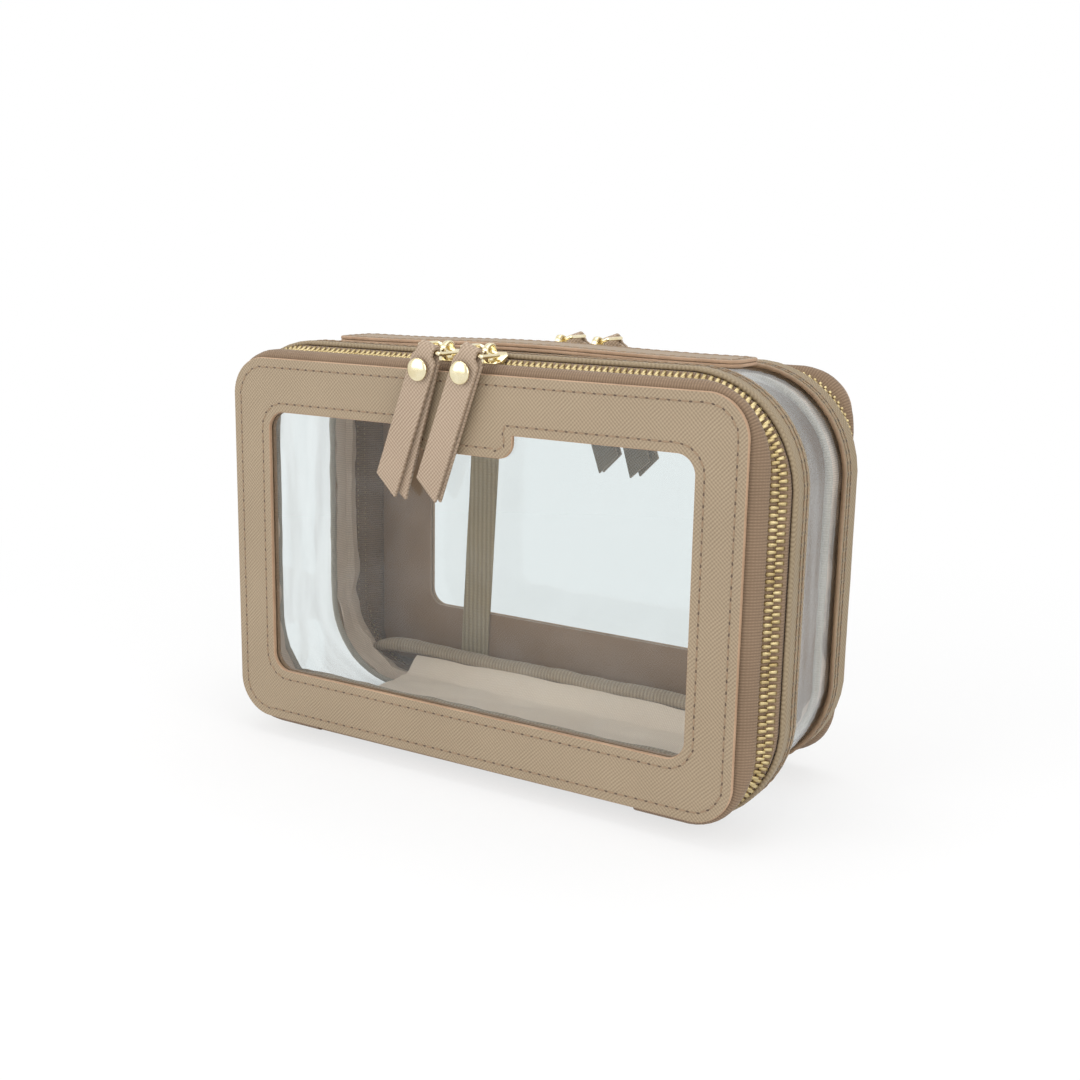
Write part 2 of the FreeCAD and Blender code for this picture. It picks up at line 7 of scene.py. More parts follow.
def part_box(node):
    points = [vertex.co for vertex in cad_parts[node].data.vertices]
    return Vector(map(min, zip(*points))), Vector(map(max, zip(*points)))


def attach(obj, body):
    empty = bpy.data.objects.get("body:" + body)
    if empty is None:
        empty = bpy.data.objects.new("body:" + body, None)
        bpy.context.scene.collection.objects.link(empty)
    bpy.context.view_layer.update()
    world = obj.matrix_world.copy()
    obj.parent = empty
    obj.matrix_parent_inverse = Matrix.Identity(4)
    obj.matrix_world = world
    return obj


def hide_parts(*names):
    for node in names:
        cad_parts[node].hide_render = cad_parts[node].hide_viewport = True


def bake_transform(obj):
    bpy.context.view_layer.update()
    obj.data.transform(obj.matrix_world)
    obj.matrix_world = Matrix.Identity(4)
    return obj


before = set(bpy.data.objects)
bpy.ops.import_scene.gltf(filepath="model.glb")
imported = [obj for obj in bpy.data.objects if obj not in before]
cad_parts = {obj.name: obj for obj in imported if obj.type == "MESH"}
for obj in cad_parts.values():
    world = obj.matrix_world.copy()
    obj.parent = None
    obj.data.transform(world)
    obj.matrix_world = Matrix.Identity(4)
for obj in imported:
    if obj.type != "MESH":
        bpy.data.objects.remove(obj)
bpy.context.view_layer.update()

mm = 0.001
midHeight = 80
caseShape = {
    "panelWidth": 217, "panelHeight": 144, "face": 47, "bandRadius": 40,
    "bulge": {"front": 11.5, "rear": 8.5}, "crown": {"front": 6.4, "rear": 4.6},
}
# the slope that carries the zip, from the edge of a door out to its leather band
zipSlope = {
    "start": 2.3, "depth": 10.2, "wide": 215.8, "high": 142.8, "tuck": 1.45,
    "radius": 14.4, "radiusGrows": 23.55,
}
ends = ("front", "rear")
outward = {"front": -1, "rear": 1}
sides = ("left", "right")
print("frame loaded with", len(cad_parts), "nodes")


# picking up and shaping
def freshStart():
    if bpy.context.object and bpy.context.object.mode != "OBJECT":
        bpy.ops.object.mode_set(mode="OBJECT")
    bpy.ops.object.select_all(action="DESELECT")


def pickUp(piece):
    freshStart()
    piece.select_set(True)
    bpy.context.view_layer.objects.active = piece


def openEdit(piece):
    pickUp(piece)
    bpy.ops.object.mode_set(mode="EDIT")
    bpy.ops.mesh.select_mode(type="VERT")
    bpy.ops.mesh.select_all(action="SELECT")


def closeEdit():
    bpy.ops.object.mode_set(mode="OBJECT")


# a new primitive, left open for editing
def begin(name, add, **settings):
    freshStart()
    add(**settings)
    piece = bpy.context.object
    piece.name = name
    openEdit(piece)
    return piece


def choose(piece, kind, test):
    bpy.ops.mesh.select_mode(type={"verts": "VERT", "edges": "EDGE", "faces": "FACE"}[kind])
    bpy.ops.mesh.select_all(action="DESELECT")
    shape = bmesh.from_edit_mesh(piece.data)
    for item in getattr(shape, kind):
        if test(item):
            item.select_set(True)
    shape.select_flush_mode()
    bmesh.update_edit_mesh(piece.data)


# what is selected: moved and drawn out in millimetres, sized, or turned about the origin
def moveBy(x, y, z):
    bpy.ops.transform.translate(value=(x * mm, y * mm, z * mm))


def drawOut(x, y, z):
    bpy.ops.mesh.extrude_region_move(TRANSFORM_OT_translate={"value": (x * mm, y * mm, z * mm)})


def sizeBy(x, y, z):
    bpy.ops.transform.resize(value=(x, y, z))


def turnBy(angle, axis):
    bpy.ops.transform.rotate(value=angle, orient_axis=axis, center_override=(0, 0, 0))


def applyModifier(piece, kind, **settings):
    pickUp(piece)
    modifier = piece.modifiers.new("shape", kind)
    for key, value in settings.items():
        setattr(modifier, key, value)
    bpy.ops.object.modifier_apply(modifier=modifier.name)


def thicken(piece, thick, **settings):
    applyModifier(piece, "SOLIDIFY", thickness=thick * mm, offset=0, **settings)
    outwardFaces(piece)


def softenEdges(piece, width, segments=3, angle=50):
    limit = math.radians(angle)
    settings = {"segments": segments, "limit_method": "ANGLE", "angle_limit": limit}
    applyModifier(piece, "BEVEL", width=width * mm, **settings)


def wrinkle(piece, strength, size, name, detail=2, middle=0.5):
    cloud = bpy.data.textures.new(name, "CLOUDS")
    cloud.noise_scale = size * mm
    cloud.noise_depth = detail
    settings = {"texture": cloud, "texture_coords": "LOCAL", "strength": strength * mm, "mid_level": middle}
    applyModifier(piece, "DISPLACE", **settings)


def joinAll(pieces, name):
    freshStart()
    for piece in pieces:
        piece.select_set(True)
    bpy.context.view_layer.objects.active = pieces[0]
    bpy.ops.object.join()
    joined = bpy.context.object
    joined.name = name
    joined.data.name = name
    return joined


def smoothOver(piece, angle):
    pickUp(piece)
    bpy.ops.object.shade_smooth_by_angle(angle=math.radians(angle))


def outwardFaces(piece):
    openEdit(piece)
    bpy.ops.mesh.normals_make_consistent(inside=False)
    closeEdit()


def dress(piece, *finishes):
    piece.data.materials.clear()
    for finish in finishes:
        piece.data.materials.append(finish)


def finishOff(piece, angle, *finishes):
    smoothOver(piece, angle)
    dress(piece, *finishes)


def dressWhere(piece, index, test):
    for face in piece.data.polygons:
        if test(face):
            face.material_index = index


# outlines of the case: width, height, corner radius and place in depth
def depthY(end, depth):
    return outward[end] * (caseShape["face"] - depth)


def bandOutline(end, depth, inset):
    wide = caseShape["panelWidth"] + 2 * caseShape["bulge"][end] - 2 * inset
    high = caseShape["panelHeight"] + 2 * caseShape["crown"][end] - 2 * inset
    return wide, high, caseShape["bandRadius"] - inset, depthY(end, depth)


def bevelOutline(end, depth, out=0, outTop=None):
    t = (depth - zipSlope["start"]) / zipSlope["depth"]
    wide = zipSlope["wide"] + 2 * (caseShape["bulge"][end] - zipSlope["tuck"]) * t + 2 * out
    high = zipSlope["high"] + 2 * (caseShape["crown"][end] - zipSlope["tuck"]) * t
    high += 2 * (out if outTop is None else outTop)
    return wide, high, zipSlope["radius"] + zipSlope["radiusGrows"] * t + out, depthY(end, depth)


# a rounded outline, standing in the plane of the doors: a circle pulled apart into four corners
def outlineLoop(wide, high, radius, y, cutsWide=0, cutsHigh=0, count=48):
    loop = begin("outline", bpy.ops.mesh.primitive_circle_add, vertices=count, radius=radius * mm)
    turnBy(math.pi / count, "Z")
    turnBy(math.pi / 2, "X")
    for side in (1, -1):
        choose(loop, "verts", lambda v: v.co.x * side > 0)
        moveBy(side * (wide / 2 - radius), 0, 0)
        choose(loop, "verts", lambda v: v.co.z * side > 0)
        moveBy(0, 0, side * (high / 2 - radius))
    for axis, cuts in ((0, cutsWide), (2, cutsHigh)):
        if cuts:
            choose(loop, "edges", lambda e: e.verts[0].co[axis] * e.verts[1].co[axis] < 0)
            bpy.ops.mesh.subdivide(number_cuts=cuts)
    bpy.ops.mesh.select_all(action="SELECT")
    moveBy(0, y, midHeight)
    closeEdit()
    return loop


# outlines bridged one to the next; a closed ring comes back to its first outline
def ringPiece(name, stations, closed=True, cutsWide=40, cutsHigh=24):
    loops = []
    for number, station in enumerate(stations):
        loop = outlineLoop(*station, cutsWide, cutsHigh)
        group = loop.vertex_groups.new(name=f"loop{number}")
        group.add(range(len(loop.data.vertices)), 1, "REPLACE")
        loops.append(loop)
    piece = joinAll(loops, name)
    openEdit(piece)
    count = len(stations)
    for number in range(count if closed else count - 1):
        bpy.ops.mesh.select_all(action="DESELECT")
        for end in (number, (number + 1) % count):
            bpy.ops.object.vertex_group_set_active(group=f"loop{end}")
            bpy.ops.object.vertex_group_select()
        bpy.ops.mesh.bridge_edge_loops()
    outwardFaces(piece)
    bpy.ops.object.vertex_group_remove(all=True)
    return piece


# half the way round an outline
def halfRun(outline):
    wide, high, radius = outline[:3]
    return wide + high - 4 * radius + radius * math.pi


# the run of a band from the middle of its top, both ways, for patterns that follow it
def runAround(x, z, outline):
    wide, high, radius = outline[:3]
    flatWide, flatHigh = wide / 2 - radius, high / 2 - radius
    side, lift = abs(x), abs(z - midHeight)
    if side <= flatWide:
        run = side
    elif lift >= flatHigh:
        run = flatWide + radius * math.atan2(side - flatWide, max(lift - flatHigh, 1e-6))
    else:
        run = flatWide + radius * math.pi / 2 + flatHigh - lift
    if z < midHeight:
        run = halfRun(outline) - run
    return run if x >= 0 else -run


def mapAround(piece, outline):
    chart = piece.data.uv_layers.new(name="run")
    half = halfRun(outline)
    for face in piece.data.polygons:
        spots = [piece.data.vertices[v].co / mm for v in face.vertices]
        runs = [runAround(p.x, p.z, outline) for p in spots]
        wraps = max(runs) - min(runs) > half
        for corner, run, p in zip(face.loop_indices, runs, spots):
            along = run + 2 * half if wraps and run < 0 else run
            chart.data[corner].uv = (along * mm, p.y * mm)


# shader maths
class Wire:
    def __init__(self, tree, socket=None):
        self.tree = tree
        self.socket = socket

    def plug(self, node, sockets):
        for key, value in sockets.items():
            if isinstance(value, Wire):
                self.tree.links.new(value.socket, node.inputs[key])
            else:
                node.inputs[key].default_value = value

    def node(self, kind, settings=None, sockets=None, out=0):
        made = self.tree.nodes.new(kind)
        for key, value in (settings or {}).items():
            setattr(made, key, value)
        self.plug(made, sockets or {})
        return Wire(self.tree, made.outputs[out])

    def maths(self, operation, *values):
        return self.node("ShaderNodeMath", {"operation": operation}, dict(enumerate(values)))

    def __add__(self, other):
        return self.maths("ADD", self, other)

    __radd__ = __add__

    def __sub__(self, other):
        return self.maths("SUBTRACT", self, other)

    def __rsub__(self, other):
        return self.maths("SUBTRACT", other, self)

    def __mul__(self, other):
        return self.maths("MULTIPLY", self, other)

    __rmul__ = __mul__

    def __pow__(self, other):
        return self.maths("POWER", self, other)

    def wave(self, pitch):
        return self.maths("SINE", self * (2 * math.pi / pitch)) * 0.5 + 0.5

    def between(self, low, high):
        smooth = {"interpolation_type": "SMOOTHSTEP"}
        return self.node("ShaderNodeMapRange", smooth, {0: self, 1: low, 2: high})

    def blend(self, dark, light):
        return self.node("ShaderNodeMix", {"data_type": "RGBA"}, {0: self, 6: tint(dark), 7: tint(light)}, 2)


def tint(colour):
    def straight(value):
        value /= 255
        return value / 12.92 if value <= 0.04045 else ((value + 0.055) / 1.055) ** 2.4
    return (*map(straight, colour), 1)


def newFinish(name):
    finish = bpy.data.materials.new(name)
    finish.use_nodes = True
    tree = finish.node_tree
    return finish, Wire(tree), tree.nodes["Principled BSDF"]


def feed(wire, shader, **sockets):
    wire.plug(shader, {key.replace("_", " "): value for key, value in sockets.items()})


def surfaceSpot(wire, plane):
    if plane == "uv":
        return wire.node("ShaderNodeUVMap", {"uv_map": "run"})
    return wire.node("ShaderNodeTexCoord", out=3)


# the two ways along a surface, as plain numbers
def surfaceWays(wire, spot, plane):
    ways = (0, 2 if plane == "xz" else 1)
    return [wire.node("ShaderNodeSeparateXYZ", sockets={0: spot}, out=way) for way in ways]


def cloudy(wire, spot, size, detail=2, rough=0.5):
    sockets = {"Vector": spot, "Scale": 1 / (size * mm), "Detail": detail, "Roughness": rough}
    return wire.node("ShaderNodeTexNoise", sockets=sockets)


def bumped(wire, height, strength, depth):
    sockets = {"Strength": strength, "Distance": depth * mm, "Height": height}
    return wire.node("ShaderNodeBump", sockets=sockets)


leatherLook = {
    "pitch": 1.0, "weave": 7, "waver": 0.5, "fallingPitch": 1.06, "bumpStrength": 0.6, "bumpDepth": 0.15,
}


# cross-hatched leather: two diagonal rulings that trade places in soft patches
def hatchedLeather(name, dark, light, plane, pitch=leatherLook["pitch"], rough=0.52, contrast=1.0):
    finish, wire, shader = newFinish(name)
    spot = surfaceSpot(wire, plane)
    u, v = surfaceWays(wire, spot, plane)
    waver = cloudy(wire, spot, 6, 2) * (leatherLook["waver"] * mm)
    rising = ((u + v) * 0.7071 + waver).wave(pitch * mm)
    falling = ((u - v) * 0.7071 - waver).wave(pitch * mm * leatherLook["fallingPitch"])
    patch = cloudy(wire, spot, leatherLook["weave"], 1).between(0.35, 0.65) * 0.4 + 0.3
    hatch = rising * patch + falling * (1 - patch)
    grain = cloudy(wire, spot, 0.5, 3, 0.6)
    blotch = cloudy(wire, spot, 45, 3)
    tone = hatch * (0.55 * contrast) + grain * 0.25 + blotch * 0.3
    bumpDepth = leatherLook["bumpDepth"] * min(1, contrast)
    bump = bumped(wire, hatch + grain * 0.35, leatherLook["bumpStrength"], bumpDepth)
    feed(wire, shader, Base_Color=tone.blend(dark, light), Roughness=rough + 0.12 * (1 - hatch))
    feed(wire, shader, Specular_IOR_Level=0.42, Normal=bump)
    return finish


def paintedEdge(name, dark, light):
    finish, wire, shader = newFinish(name)
    spot = surfaceSpot(wire, "xz")
    streak = cloudy(wire, spot, 1.4, 3, 0.6)
    worn = cloudy(wire, spot, 14, 2).between(0.35, 0.7)
    tone = streak * 0.6 + worn * 0.4
    feed(wire, shader, Base_Color=tone.blend(dark, light), Roughness=0.4 + 0.2 * streak)
    feed(wire, shader, Normal=bumped(wire, streak, 0.3, 0.12))
    return finish


# woven cloth: ribs along one way, threads along the other, with soiling and fuzz
def wovenCloth(name, dark, light, plane, rib, thread, depth=0.18, fuzz=0.25):
    finish, wire, shader = newFinish(name)
    spot = surfaceSpot(wire, plane)
    u, v = surfaceWays(wire, spot, plane)
    waver = cloudy(wire, spot, 9, 2) * (0.5 * mm)
    ribs = (u + waver).wave(rib * mm)
    threads = (v + waver).wave(thread * mm)
    weave = ribs * 0.65 + threads * ribs * 0.35
    fibre = cloudy(wire, spot, 0.35, 3, 0.65)
    soil = cloudy(wire, spot, 26, 4, 0.6)
    tone = weave * 0.5 + fibre * fuzz + soil * 0.4
    feed(wire, shader, Base_Color=tone.blend(dark, light), Roughness=0.9)
    feed(wire, shader, Sheen_Weight=0.15, Specular_IOR_Level=0.25)
    feed(wire, shader, Normal=bumped(wire, weave + fibre * 0.3, 0.8, depth))
    return finish


def goldFinish(name, base, deep, rough):
    finish, wire, shader = newFinish(name)
    spot = surfaceSpot(wire, "xz")
    tarnish = cloudy(wire, spot, 6, 3, 0.6).between(0.3, 0.75)
    scuff = cloudy(wire, spot, 0.9, 4, 0.7)
    feed(wire, shader, Base_Color=tarnish.blend(base, deep), Metallic=1.0, Roughness=rough + 0.16 * scuff)
    feed(wire, shader, Normal=bumped(wire, scuff, 0.06, 0.04))
    return finish


# one shader over another, led to the surface
def mixShaders(wire, share, lower, upper):
    mixed = wire.node("ShaderNodeMixShader", sockets={0: share, 1: lower, 2: upper})
    wire.plug(wire.tree.nodes["Material Output"], {"Surface": mixed})


# clear sheet: a tinted see-through layer under a gloss that grows towards the edge
def clearSheet(name, through, gloss, haze, ripple, rippleSize, plane="xz", stretch=1, sheen=0.85):
    finish, wire, shader = newFinish(name)
    flat = surfaceSpot(wire, plane)
    spot = wire.node("ShaderNodeMapping", sockets={"Vector": flat, "Scale": (stretch, 1, 1)})
    bump = bumped(wire, cloudy(wire, spot, rippleSize, 2), 0.35, ripple)
    feed(wire, shader, Base_Color=tint(gloss), Metallic=1.0, Roughness=0.06, Normal=bump)
    slant = wire.node("ShaderNodeLayerWeight", sockets={"Blend": 0.5, "Normal": bump}, out=1)
    seeThrough = wire.node("ShaderNodeBsdfTransparent", sockets={"Color": tint(through)})
    dust = cloudy(wire, spot, rippleSize / 3, 3).between(0.35, 0.75)
    share = 0.03 + slant ** 4.5 * sheen + dust * haze
    mixShaders(wire, share, seeThrough, Wire(wire.tree, shader.outputs[0]))
    return finish


doorLeather = hatchedLeather("doorLeather", (119, 102, 80), (174, 155, 129), "xz", contrast=1.15)
bandLeather = hatchedLeather("bandLeather", (114, 98, 74), (166, 148, 120), "uv", 1.1)
topLeather = hatchedLeather("topLeather", (125, 107, 87), (173, 153, 129), "xy")
pullLeather = hatchedLeather("pullLeather", (122, 101, 81), (187, 166, 144), "xz", contrast=1.3)
backLeather = hatchedLeather("backLeather", (136, 110, 87), (184, 154, 127), "xz", 1.2, 0.42, contrast=0.35)
edgePaint = paintedEdge("edgePaint", (154, 122, 94), (196, 163, 133))
bandEdgePaint = paintedEdge("bandEdgePaint", (126, 101, 77), (168, 140, 111))
pullEdgePaint = paintedEdge("pullEdgePaint", (150, 112, 84), (190, 150, 118))
tapeCloth = wovenCloth("tapeCloth", (102, 83, 66), (156, 132, 108), "uv", 1.0, 0.8)
liningCloth = wovenCloth("liningCloth", (167, 149, 131), (238, 217, 198), "uv", 0.8, 0.8, 0.12, 0.4)
pipingCloth = wovenCloth("pipingCloth", (150, 141, 128), (196, 188, 176), "uv", 0.9, 2.5)
floorCloth = wovenCloth("floorCloth", (214, 190, 170), (255, 240, 222), "xy", 0.7, 0.7, 0.1, 0.4)
bindingCloth = wovenCloth("bindingCloth", (133, 117, 97), (196, 177, 154), "xz", 1.5, 3.0, 0.3)
elasticCloth = wovenCloth("elasticCloth", (136, 121, 95), (198, 180, 150), "xz", 2.2, 1.3, 0.25)
zipGold = goldFinish("zipGold", (208, 191, 146), (172, 151, 106), 0.36)
brightGold = goldFinish("brightGold", (240, 230, 196), (224, 208, 166), 0.1)
threadTan = wovenCloth("threadTan", (128, 106, 84), (170, 146, 120), "xz", 0.35, 0.5, 0.05)
# dark brown painted shade for the needle holes, laid on the dots beside each thread
needleHoleShade = paintedEdge("needleHoleShade", (74, 57, 44), (104, 84, 66))
clearPane = clearSheet("clearPane", (248, 250, 250), (240, 243, 244), 0.02, 1.2, 60)
clearBand = clearSheet("clearBand", (251, 252, 252), (226, 230, 231), 0.1, 1.0, 22, "uv", 0.14, 0.5)
print("finishes mixed:", len(bpy.data.materials))


# doors: flat leather frames cut round the windows
doorFrame = {
    "thick": 1.8, "corner": 15, "windowCorner": 7, "cutSpare": 3,
    "windowWide": {"front": 181, "rear": 160}, "windowHigh": {"front": 103, "rear": 84},
    "tabWide": 42, "tabDrop": 8.4, "tabCorner": 6, "tabNook": 1.6, "softEdge": 0.5,
    "outerStitch": 3.6, "innerStitch": 3.4, "stitchPitch": 3.9,
}


def slabPiece(name, wide, high, radius, y, thick):
    piece = outlineLoop(wide, high, radius, y)
    piece.name = name
    openEdit(piece)
    bpy.ops.mesh.edge_face_add()
    drawOut(0, thick, 0)
    outwardFaces(piece)
    return piece


def cutAway(piece, cutter):
    applyModifier(piece, "BOOLEAN", object=cutter, operation="DIFFERENCE", solver="EXACT")
    bpy.data.objects.remove(cutter, do_unlink=True)


def standsAt(vert, x, z):
    return abs(abs(vert.co.x) - x) < 0.01 * mm and abs(vert.co.z - z) < 0.01 * mm


for end in ends:
    y0, y1 = sorted((depthY(end, 0), depthY(end, doorFrame["thick"])))
    thick, spare = y1 - y0, doorFrame["cutSpare"]
    panel = caseShape["panelWidth"], caseShape["panelHeight"], doorFrame["corner"]
    door = slabPiece(f"{end}DoorLeather", *panel, y0, thick)
    windowWide, windowHigh = doorFrame["windowWide"][end], doorFrame["windowHigh"][end]
    hole = slabPiece("hole", windowWide, windowHigh, doorFrame["windowCorner"], y0 - spare, thick + 2 * spare)
    if end == "front":  # the tab hangs into the window, with a soft nook at either side
        tabSize = doorFrame["tabWide"], 2 * doorFrame["tabDrop"], doorFrame["tabCorner"]
        tab = slabPiece("tab", *tabSize, y0 - 2 * spare, thick + 4 * spare)
        openEdit(tab)
        moveBy(0, 0, windowHigh / 2)
        closeEdit()
        cutAway(hole, tab)
        openEdit(hole)
        nookX, nookZ = doorFrame["tabWide"] / 2 * mm, (midHeight + windowHigh / 2) * mm
        choose(hole, "edges", lambda e: all(standsAt(v, nookX, nookZ) for v in e.verts))
        bpy.ops.mesh.bevel(offset=doorFrame["tabNook"] * mm, segments=5)
        closeEdit()
    cutAway(door, hole)
    softenEdges(door, doorFrame["softEdge"])
    smoothOver(door, 50)
    applyModifier(door, "WEIGHTED_NORMAL", keep_sharp=True, weight=100)
    dress(door, doorLeather, edgePaint)
    dressWhere(door, 1, lambda face: abs(face.normal.y) < 0.8)
    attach(door, f"{end}_panel")
    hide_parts(f"{end}_frame")
print("doors cut")

for end in ends:
    dress(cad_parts[f"{end}_window"], clearPane)
    dress(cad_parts[f"{end}_backing"], backLeather)
    for side in sides:
        dress(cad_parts[f"{end}_{side}_ring"], brightGold)
dress(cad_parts["base_panel"], topLeather)


# stitches: one thread with a dark dot of painted shade where its needle hole is, copied along a line
# the hole entries size and place the dark dot of painted shade beside each thread
stitchForm = {
    "thread": (1.4, 0.32, 0.28), "proud": 0.04,
    "hole": (1.35, 0.7, 0.16), "holeRadius": 0.5, "holeAt": 1.95,
}


def stitchShape():
    ball = bpy.ops.mesh.primitive_uv_sphere_add
    thread = begin("thread", ball, segments=6, ring_count=5, radius=1 * mm)
    turnBy(math.pi / 2, "Y")
    sizeBy(*stitchForm["thread"])
    moveBy(0, 0, stitchForm["proud"])
    closeEdit()
    # the needle hole is a flattened dark dot beside the thread, coloured as painted shade
    hole = begin("needleShadeDot", ball, segments=8, ring_count=4, radius=stitchForm["holeRadius"] * mm)
    sizeBy(*stitchForm["hole"])
    moveBy(stitchForm["holeAt"], 0, 0)
    closeEdit()
    for piece in (thread, hole):
        dress(piece, threadTan, needleHoleShade)
    dressWhere(hole, 1, lambda face: True)
    return joinAll([thread, hole], "stitch")


def copyAlong(template, places, name, smooth=60):
    shape = bmesh.new()
    for place in places:
        one = template.data.copy()
        one.transform(place)
        shape.from_mesh(one)
        bpy.data.meshes.remove(one)
    mesh = bpy.data.meshes.new(name)
    shape.to_mesh(mesh)
    shape.free()
    for finish in template.data.materials:
        mesh.materials.append(finish)
    piece = bpy.data.objects.new(name, mesh)
    bpy.context.scene.collection.objects.link(piece)
    smoothOver(piece, smooth)
    return piece


# corners with radii, in a plane, as a line of points
def softLine(corners, steps=8):
    points = []
    for number, (x, z, radius) in enumerate(corners):
        here = Vector((x, z))
        back = (Vector(corners[number - 1][:2]) - here).normalized()
        ahead = (Vector(corners[(number + 1) % len(corners)][:2]) - here).normalized()
        bend = back.angle(ahead)
        reach = radius / math.tan(bend / 2)
        centre = here + (back + ahead).normalized() * (radius / math.sin(bend / 2))
        first, last = here + back * reach - centre, here + ahead * reach - centre
        sweep = first.angle_signed(last)
        for step in range(steps + 1):
            arm = first.copy()
            arm.rotate(Matrix.Rotation(-sweep * step / steps, 2))
            points.append(centre + arm)
    return points


# even steps round a closed line: each spot with its direction
def evenSteps(points, pitch):
    line = points + points[:1]
    legs = [(b - a).length for a, b in zip(line, line[1:])]
    total = sum(legs)
    count = round(total / pitch)
    spots, leg, gone = [], 0, 0
    for number in range(count):
        want = total * number / count
        while gone + legs[leg] < want:
            gone += legs[leg]
            leg += 1
        share = (want - gone) / legs[leg]
        spots.append((line[leg].lerp(line[leg + 1], share), (line[leg + 1] - line[leg]).normalized()))
    return spots


def placeOn(spot, along, up):
    along, up = along.normalized(), up.normalized()
    across = up.cross(along).normalized()
    up = along.cross(across)
    place = Matrix((along, across, up)).transposed().to_4x4()
    place.translation = spot * mm
    return place


def boxCorners(wide, high, radius):
    signs = ((-1, -1), (1, -1), (1, 1), (-1, 1))
    return [(a * wide / 2, b * high / 2, radius) for a, b in signs]


stitch = stitchShape()
for end in ends:
    inset, gap = doorFrame["outerStitch"], doorFrame["innerStitch"]
    wide, high = caseShape["panelWidth"] - 2 * inset, caseShape["panelHeight"] - 2 * inset
    outer = boxCorners(wide, high, doorFrame["corner"] - inset)
    wide, high = doorFrame["windowWide"][end] + 2 * gap, doorFrame["windowHigh"][end] + 2 * gap
    inner = boxCorners(wide, high, doorFrame["windowCorner"] + gap)
    if end == "front":  # the line steps down round the tab
        tabSide, top = doorFrame["tabWide"] / 2 - gap, high / 2
        low = top - doorFrame["tabDrop"]
        inner[3:3] = [(tabSide, top, 1.5), (tabSide, low, 3), (-tabSide, low, 3), (-tabSide, top, 1.5)]
    facing = Vector((0, outward[end], 0))
    places = []
    for corners in (outer, inner):
        for spot, along in evenSteps(softLine(corners), doorFrame["stitchPitch"]):
            at = Vector((spot.x, depthY(end, 0), spot.y + midHeight))
            places.append(placeOn(at, Vector((along.x, 0, along.y)), facing))
    seam = copyAlong(stitch, places, f"{end}DoorStitches")
    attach(seam, f"{end}_panel")
print("door stitches sewn")


# bands round the case: zip tape, teeth, leather bands, clear band, linings
def openBottom(piece, half):
    def atBottom(face):
        middle = face.calc_center_median()
        return abs(middle.x) < half * mm and middle.z < midHeight * mm

    openEdit(piece)
    for side in (1, -1):
        bpy.ops.mesh.select_all(action="SELECT")
        bpy.ops.mesh.bisect(plane_co=(side * half * mm, 0, 0), plane_no=(1, 0, 0))
    choose(piece, "faces", atBottom)
    bpy.ops.mesh.delete(type="FACE")
    for side in (1, -1):
        choose(piece, "edges", lambda e: e.is_boundary and e.verts[0].co.x * side > 0)
        bpy.ops.mesh.edge_face_add()
    outwardFaces(piece)


# depths from the door's face, with how far the cloth stands out of the slope or in from the band
zipTape = {
    "bottomGap": 71, "puff": 1.2, "puffTop": 2.3,
    "doorSwell": [(2.35, 0), (2.7, 0.5), (3.5, 0.9), (4.8, 1), (6.2, 0.8), (7.2, 0.35)],
    "doorLip": [(7.7, -0.1, 0.15), (8.1, -0.6, -0.6), (9.85, -0.9, -0.9)],
    "doorUnder": [(9.7, -1.4, -1.4), (7.7, -1.3, -1.3), (2.5, -0.7, -0.7)],
    "bandLip": [(9.95, -0.9), (11.6, -0.6), (12.0, 0)],
    "bandWall": [(12.9, 1.85), (14.2, 2.05), (19.9, 2.07), (19.75, 2.6), (13, 2.65)],
    "bandUnder": [(11.95, -1.3), (10.1, -1.4)],
}
for end in ends:
    skin = [(depth, out * zipTape["puff"], out * zipTape["puffTop"]) for depth, out in zipTape["doorSwell"]]
    skin += zipTape["doorLip"] + zipTape["doorUnder"]
    doorTape = [bevelOutline(end, *station) for station in skin]
    bandTape = [bevelOutline(end, *station) for station in zipTape["bandLip"]]
    bandTape += [bandOutline(end, *station) for station in zipTape["bandWall"]]
    bandTape += [bevelOutline(end, *station) for station in zipTape["bandUnder"]]
    for name, stations, chart, body, node in (
        (f"{end}DoorTape", doorTape, bevelOutline(end, 6), f"{end}_panel", f"{end}_tape_panel"),
        (f"{end}BandTape", bandTape, bandOutline(end, 14, 2), "case", f"{end}_tape_case"),
    ):
        tape = ringPiece(name, stations)
        openBottom(tape, zipTape["bottomGap"])
        mapAround(tape, chart)
        finishOff(tape, 50, tapeCloth)
        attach(tape, body)
        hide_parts(node)
print("zip tapes laid")

zipTooth = {
    "pitch": 2.4, "wide": 1.4, "reach": 2.9, "tall": 1.3, "lift": -0.4, "head": (0.68, 1, 0.85),
    "heelInset": 0.2, "heel": 0.4, "softEdge": 0.22,
    "rows": {"panel": 9.0, "case": 10.8}, "middle": 9.9, "endGap": 0.8,
}


def toothShape():
    tooth = begin("tooth", bpy.ops.mesh.primitive_cube_add, size=1 * mm)
    sizeBy(zipTooth["wide"], zipTooth["reach"], zipTooth["tall"])
    choose(tooth, "faces", lambda f: f.normal.y > 0.9)  # the head is narrower and dips
    sizeBy(*zipTooth["head"])
    choose(tooth, "faces", lambda f: f.normal.y < -0.9)
    bpy.ops.mesh.inset(thickness=zipTooth["heelInset"] * mm)
    drawOut(0, -zipTooth["heel"], 0)
    bpy.ops.mesh.select_all(action="SELECT")
    bpy.ops.mesh.bevel(offset=zipTooth["softEdge"] * mm, segments=1, affect="EDGES")
    outwardFaces(tooth)
    dress(tooth, zipGold)
    return tooth


